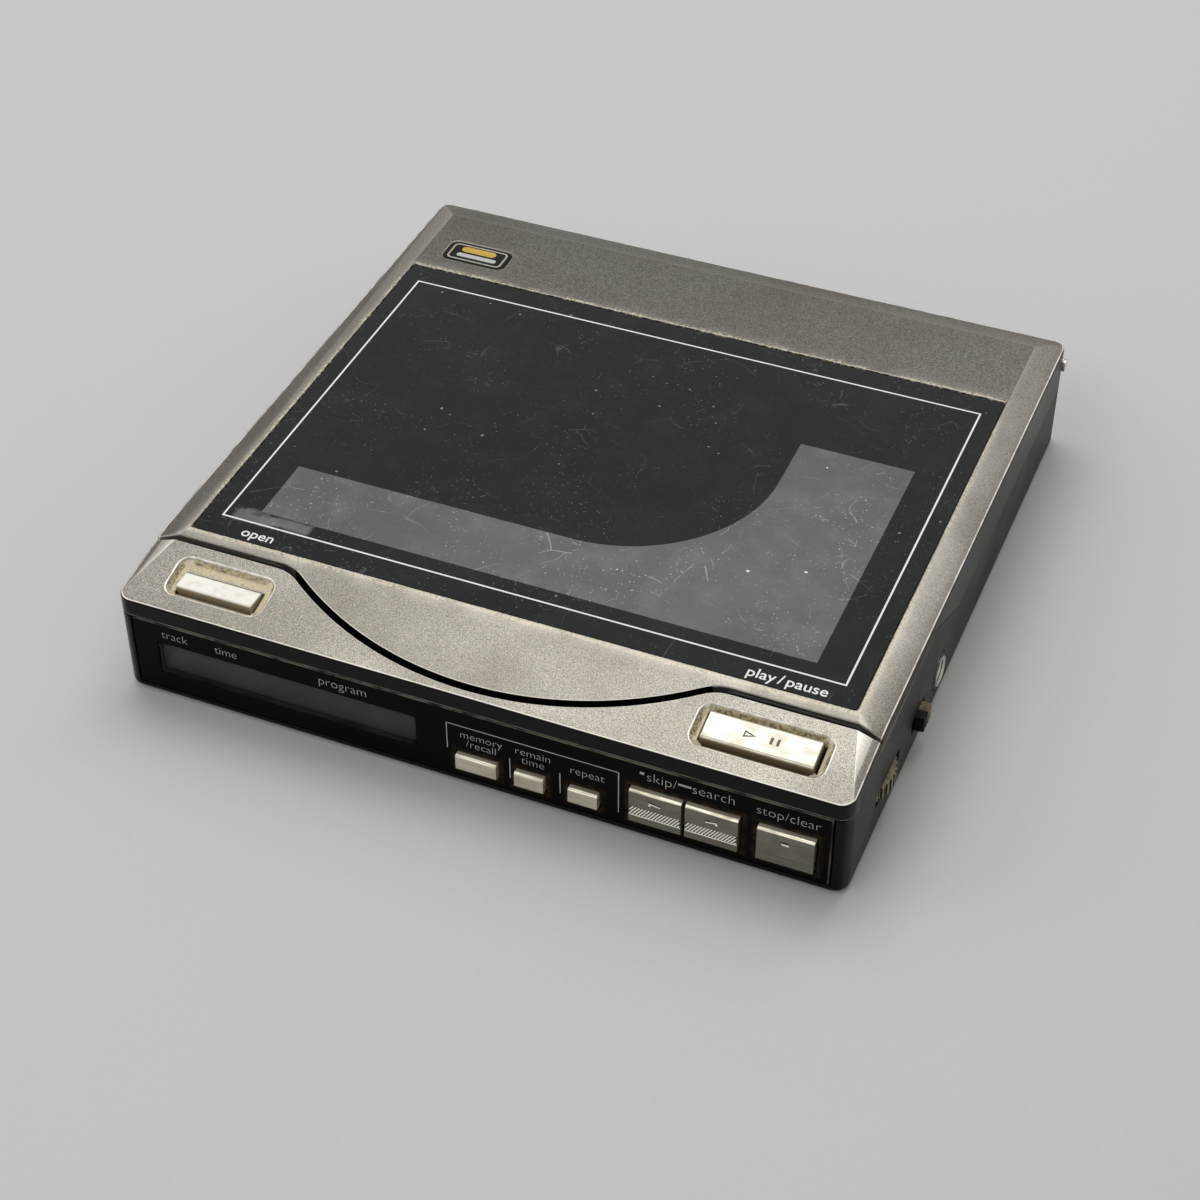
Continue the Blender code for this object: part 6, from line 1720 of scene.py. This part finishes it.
@dataclass
class Controls:
    """The headphone socket's dished ring on the right side."""

    centre: Triple = (63.0, -14.0, 5.6)
    # Name, finish, slot and profile of each ring: radii, and heights out of the side wall.
    rings: tuple[tuple[str, Finish, str, tuple[tuple[float, float], ...]], ...] = (
        ("headphone_bezel", SOCKET, "satin_black",
         ((2.7, -0.9), (3.3, -0.9), (3.3, -0.06), (3.24, 0.0), (2.7, 0.0))),
        ("headphone_cone", CHROME, "bright_chrome",
         ((1.3, -1.7), (2.7, -1.7), (2.7, 0.2), (2.6, 0.3), (2.48, 0.3), (2.4, 0.25),
          (1.4, -0.35), (1.3, -0.45))))

    def build(self, bench: Workbench) -> None:
        """Turn a black bezel, and inside it a bright cone that falls to the bore.

        Args:
            bench: makes the pieces.
        """
        turn = Matrix.Rotation(math.pi / 2, 4, "Y")
        for name, finish, slot, profile in self.rings:
            made = bench.lathe(name, np.array(profile), self.centre,
                               Part(finish, Rider.BASE, slot), turn=turn)
            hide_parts("headphone_ring")


@dataclass
class DiscDrive:
    """Trim on the turntable, the clamp and the pickup."""

    axis: Triple = (0.0, 0.6, 0.0)
    lens_axis: Triple = (-16.97, 17.57, 0.0)
    # Inner radius, outer radius, low, high and bevel of each ring.
    ring: tuple[float, ...] = (9.6, 14.4, 14.3, 14.52, 0.05)
    hub: tuple[float, ...] = (2.2, 4.6, 16.4, 16.54, 0.03)
    clamp: tuple[float, ...] = (5.6, 8.2, 17.31, 17.45, 0.03)
    lens: tuple[float, ...] = (2.7, 3.38, 12.68, 13.1, 0.06)

    @staticmethod
    def hoop(inner: float, outer: float, low: float, high: float, edge: float) -> np.ndarray:
        """A flat ring's profile, its two upper edges bevelled."""
        return np.array([(inner, low), (outer, low), (outer, high - edge), (outer - edge, high),
                         (inner + edge, high), (inner, high - edge)])

    def build(self, bench: Workbench) -> None:
        """Make the turntable's rubber ring and the trim of the hub, the clamp and the lens.

        Args:
            bench: makes the pieces.
        """
        bench.lathe("turntable_ring", self.hoop(*self.ring), self.axis,
                    Part(MAT_RUBBER, Rider.TURNTABLE, "rubber"))
        bench.lathe("hub_trim", self.hoop(*self.hub), self.axis,
                    Part(STEEL, Rider.TURNTABLE, "plated_steel"))
        # The clamp's trim is the same ring upside down, under the clamp.
        under = self.hoop(*self.clamp)
        under[:, 1] = 2 * under[:, 1].mean() - under[:, 1]
        bench.lathe("clamp_trim", under[::-1], self.axis,
                    Part(STEEL, Rider.CLAMP, "plated_steel"))
        bench.lathe("lens_rim", self.hoop(*self.lens), self.lens_axis,
                    Part(SOCKET, Rider.LENS, "lens_plastic"))


@dataclass
class CurvedSeam:
    """Finer sizes for the cover's pans and the curved seam than the CAD has."""

    widen: float = 0.45
    seam_rear: float = -48.5
    seam_half: float = 60.0
    seam_low: float = 17.9
    wall_turn: float = -0.3
    pans: tuple[tuple[float, float], ...] = ((-47.4, 8.6), (46.0, 10.7))
    pan_along: float = 3.2
    pan_reach: float = 3.6
    pan_depth: float = 1.127
    near: float = 0.03
    floor_across: float = 1.2
    floor_along: float = 2.45
    rim_step: tuple[float, float] = (0.55, 0.68)
    floor_step: tuple[float, float] = (0.25, 0.35)

    @staticmethod
    def slope_at(y: float) -> float:
        """The slope's height at a y, both in metres."""
        _, origin_y, origin_z = CoverPaint.slope_origin
        return (origin_z + CoverPaint.slope_rise * (y / MM - origin_y)) * MM

    def step_for(self, depth: float, inside: bool) -> tuple[float, float] | None:
        """How far a point of a pan moves, in mm, by its depth under the slope in metres.

        Args:
            depth: its depth.
            inside: whether it is inside the floor's edge.

        Returns:
            The steps along x and y, or none where it stays.
        """
        if abs(depth) < self.near * MM:
            return self.rim_step
        if abs(depth - self.pan_depth * MM) < self.near * MM and not inside:
            return self.floor_step
        return None

    def pan_rims(self, shape: bmesh.types.BMesh) -> None:
        """Move each pan's rim outwards, and its floor's edge half as far.

        A point moves by a step along x and one along y, each with the sign of its distance from
        the pan's middle and scaled by that distance, and keeps its depth under the slope.

        Args:
            shape: the cover's copy.
        """
        for point in shape.verts:
            depth = self.slope_at(point.co.y) - point.co.z
            for middle, half in self.pans:
                across = point.co.x - middle * MM
                along = point.co.y - CoverPaint.slope_origin[1] * MM
                if abs(across) > half * MM or abs(along) > self.pan_reach * MM:
                    continue
                inside = (abs(across) < (half - self.floor_across) * MM
                          and abs(along) < self.floor_along * MM)
                step = self.step_for(depth, inside)
                if step:
                    point.co.x += step[0] * across / half
                    point.co.y += step[1] * along / self.pan_along
                    point.co.z = self.slope_at(point.co.y) - depth

    def tongue(self, shape: bmesh.types.BMesh) -> None:
        """Set the lid's curved front wall back, up the slope, so that the seam is wider.

        Args:
            shape: the lid shell's copy.
        """
        points = set()
        for face in shape.faces:
            middle = face.calc_center_median() / MM
            if (face.normal.y < self.wall_turn and middle.y < self.seam_rear
                    and middle.z > self.seam_low):
                points.update(face.verts)
        for point in points:
            if abs(point.co.x) < self.seam_half * MM:
                point.co.y += self.widen * MM
                point.co.z += self.widen * CoverPaint.slope_rise * MM


@dataclass
class Dressing:
    """Which finish each carried-over node gets, and which nodes get rounded copies."""

    nodes: tuple[tuple[Finish, str], ...] = (
        (DECK_PLASTIC, "disc_deck"), (INNER_PLASTIC, "lid_inner_plate"),
        (BADGE_BLACK, "lid_badge"), (DISPLAY_COVER, "display_window"),
        (CRYSTAL, "display_crystal"), (BOARD, "display_board main_board"),
        (ACETAL, "disc_clamp turntable feed_gear latch_slider"), (BRASS, "motor_pinion"),
        (STEEL, "mechanism_chassis spindle_motor feed_motor guide_rod_left guide_rod_right "
                "volume_control mode_switch case_screw"),
        (DIECAST, "pickup_sled"), (LENS_GLASS, "objective_lens"),
        (CHROME, "hinge_pin_left hinge_pin_right headphone_ring"),
        (SOCKET, "headphone_jack line_out_jack power_jack"), (WHEEL_PLASTIC, "volume_wheel"),
        (SWITCH_PLASTIC, "mode_switch_knob"),
        (KEY_METAL, "memory_key remain_key repeat_key skip_back_key skip_forward_key stop_key"),
        (OPEN_KEY_METAL, "open_key"), (TOP_KEY_METAL, "play_key"),
        (WINDOW_BLACK, "lid_window"), (PANEL, "front_panel"), (CASE_PLASTIC, "bottom_case"),
        (COVER_PAINT, "front_cover"), (LID_PAINT, "lid_shell"), (RUBBER, "foot damper"))
    # Node, width, edges, body and slot of each rounded copy.
    rounded: tuple[tuple[str, float, Rounding, Rider, str], ...] = (
        ("lid_shell", 0.18, Rounding.UPPER, Rider.LID, "cover_paint"),
        ("front_cover", 0.18, Rounding.UPPER, Rider.BASE, "cover_paint"),
        ("bottom_case", 0.15, Rounding.OUTER, Rider.BASE, "case_plastic"),
        ("front_panel", 0.1, Rounding.ALL, Rider.BASE, "gloss_panel"),
        ("lid_inner_plate", 0.15, Rounding.LEVEL, Rider.LID, "deck_plastic"),
        ("open_key", 0.22, Rounding.ALL, Rider.OPEN_KEY, "key_paint"),
        ("play_key", 0.22, Rounding.ALL, Rider.PLAY_KEY, "key_paint"),
        ("volume_wheel", 0.1, Rounding.ALL, Rider.WHEEL, "satin_black"),
        ("turntable", 0.12, Rounding.ALL, Rider.TURNTABLE, "acetal"),
        ("disc_clamp", 0.15, Rounding.ALL, Rider.CLAMP, "acetal"))

    def finish_of(self, name: str) -> Finish:
        """The finish of a node, by its name or by its name without its number."""
        kind = name.rstrip("_0123456789")
        return next(finish for finish, names in self.nodes if kind in names.split())

    def build(self, nodes: dict[str, bpy.types.Object], bench: Workbench) -> None:
        """Dress every node, and make the rounded copies.

        Args:
            nodes: the CAD nodes' objects by name.
            bench: makes the copies.
        """
        for name, node in nodes.items():
            finish = self.finish_of(name)
            node.data.materials.clear()
            node.data.materials.append(finish.build())
            LOG.info("%s dressed as %s", name, finish.name)
        seam = CurvedSeam()
        moves = {"front_cover": seam.pan_rims, "lid_shell": seam.tongue}
        for name, width, which, rider, slot in self.rounded:
            bench.rounded(nodes[name], width, which, Part(self.finish_of(name), rider, slot),
                          moves.get(name))


class Lamp(NamedTuple):
    """A soft rectangular light: its name, place, target, sides in metres and power."""

    name: str
    at: Triple
    to: Triple
    sides: tuple[float, float]
    power: float


@dataclass
class Studio:
    """Pale floor, soft lights and the camera. Sizes in metres."""

    floor_half: float = 3.0
    world_colour: str = "#ffffff"
    world_strength: float = 0.42
    camera_at: Triple = (0.12539, -0.31175, 0.28222)
    looks_at: Triple = (0.008402, -0.028941, 0.015)
    lens_mm: float = 73.78
    sensor_mm: float = 36.0
    nearest: float = 0.01
    lamps: tuple[Lamp, ...] = (
        Lamp("overhead_softbox", (-0.12, 0.26, 0.78), (0.0, -0.02, 0.0), (0.62, 0.46), 2.9),
        Lamp("rear_fill", (0.17, 0.6, 0.6), (0.05, 0.0, 0.0), (0.24, 0.24), 0.55),
        Lamp("left_fill", (-0.7, -0.3, 0.5), (0.0, 0.0, 0.0), (0.5, 0.5), 0.9),
        Lamp("front_fill", (-0.25, -0.7, 0.7), (0.0, 0.0, 0.0), (0.5, 0.3), 1.3))

    @staticmethod
    def stand(name: str, data: bpy.types.ID, at: Triple, to: Triple) -> bpy.types.Object:
        """Put a light or a camera at a place, facing another.

        Args:
            name: its name.
            data: the light or the lens.
            at: its place.
            to: what it faces.

        Returns:
            The object.
        """
        made = bpy.data.objects.new(name, data)
        made.location = at
        made.rotation_euler = (Vector(to) - Vector(at)).to_track_quat("-Z", "Y").to_euler()
        bpy.context.scene.collection.objects.link(made)
        return made

    def camera(self) -> None:
        """The photograph's own view."""
        lens = bpy.data.cameras.new("camera")
        lens.lens = self.lens_mm
        lens.sensor_width = self.sensor_mm
        lens.sensor_fit = "AUTO"
        lens.clip_start = self.nearest
        bpy.context.scene.camera = self.stand("camera", lens, self.camera_at, self.looks_at)

    def world(self) -> None:
        """An even pale world."""
        world = bpy.data.worlds.new("studio")
        bpy.context.scene.world = world
        world.use_nodes = True
        back = world.node_tree.nodes["Background"]
        back.inputs[0].default_value = linear(self.world_colour)
        back.inputs[1].default_value = self.world_strength

    def floor(self) -> None:
        """A large pale floor just under the feet, with a faint paper grain."""
        mesh = bpy.data.meshes.new("floor")
        span = self.floor_half
        mesh.from_pydata([(-span, -span, 0), (span, -span, 0), (span, span, 0),
                          (-span, span, 0)], [], [(0, 1, 2, 3)])
        mesh.materials.append(PAPER.build())
        made = bpy.data.objects.new("floor", mesh)
        bpy.context.scene.collection.objects.link(made)

    def light(self, lamp: Lamp) -> None:
        """A soft rectangular light.

        Args:
            lamp: what it is called, where it stands and how strong it is.
        """
        light = bpy.data.lights.new(lamp.name, "AREA")
        light.shape = "RECTANGLE"
        light.size, light.size_y = lamp.sides
        light.energy = lamp.power
        self.stand(lamp.name, light, lamp.at, lamp.to)

    def build(self) -> None:
        """Set the stage and the plain view settings."""
        self.camera()
        self.world()
        self.floor()
        for lamp in self.lamps:
            self.light(lamp)
        bpy.context.scene.view_settings.view_transform = "Standard"


def main() -> None:
    """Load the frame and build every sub-assembly."""
    logging.basicConfig(level=logging.INFO, format="%(message)s")
    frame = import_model()
    nodes = frame["nodes"]
    bench = Workbench()
    Studio().build()
    Dressing().build(nodes, bench)
    for assembly in (Lid(), FrontPanel(), FrontKeys(), TopKeys(), Controls(), DiscDrive()):
        assembly.build(bench)
    LOG.info("%d pieces made", len(bench.made))


if __name__ == "__main__":
    main()
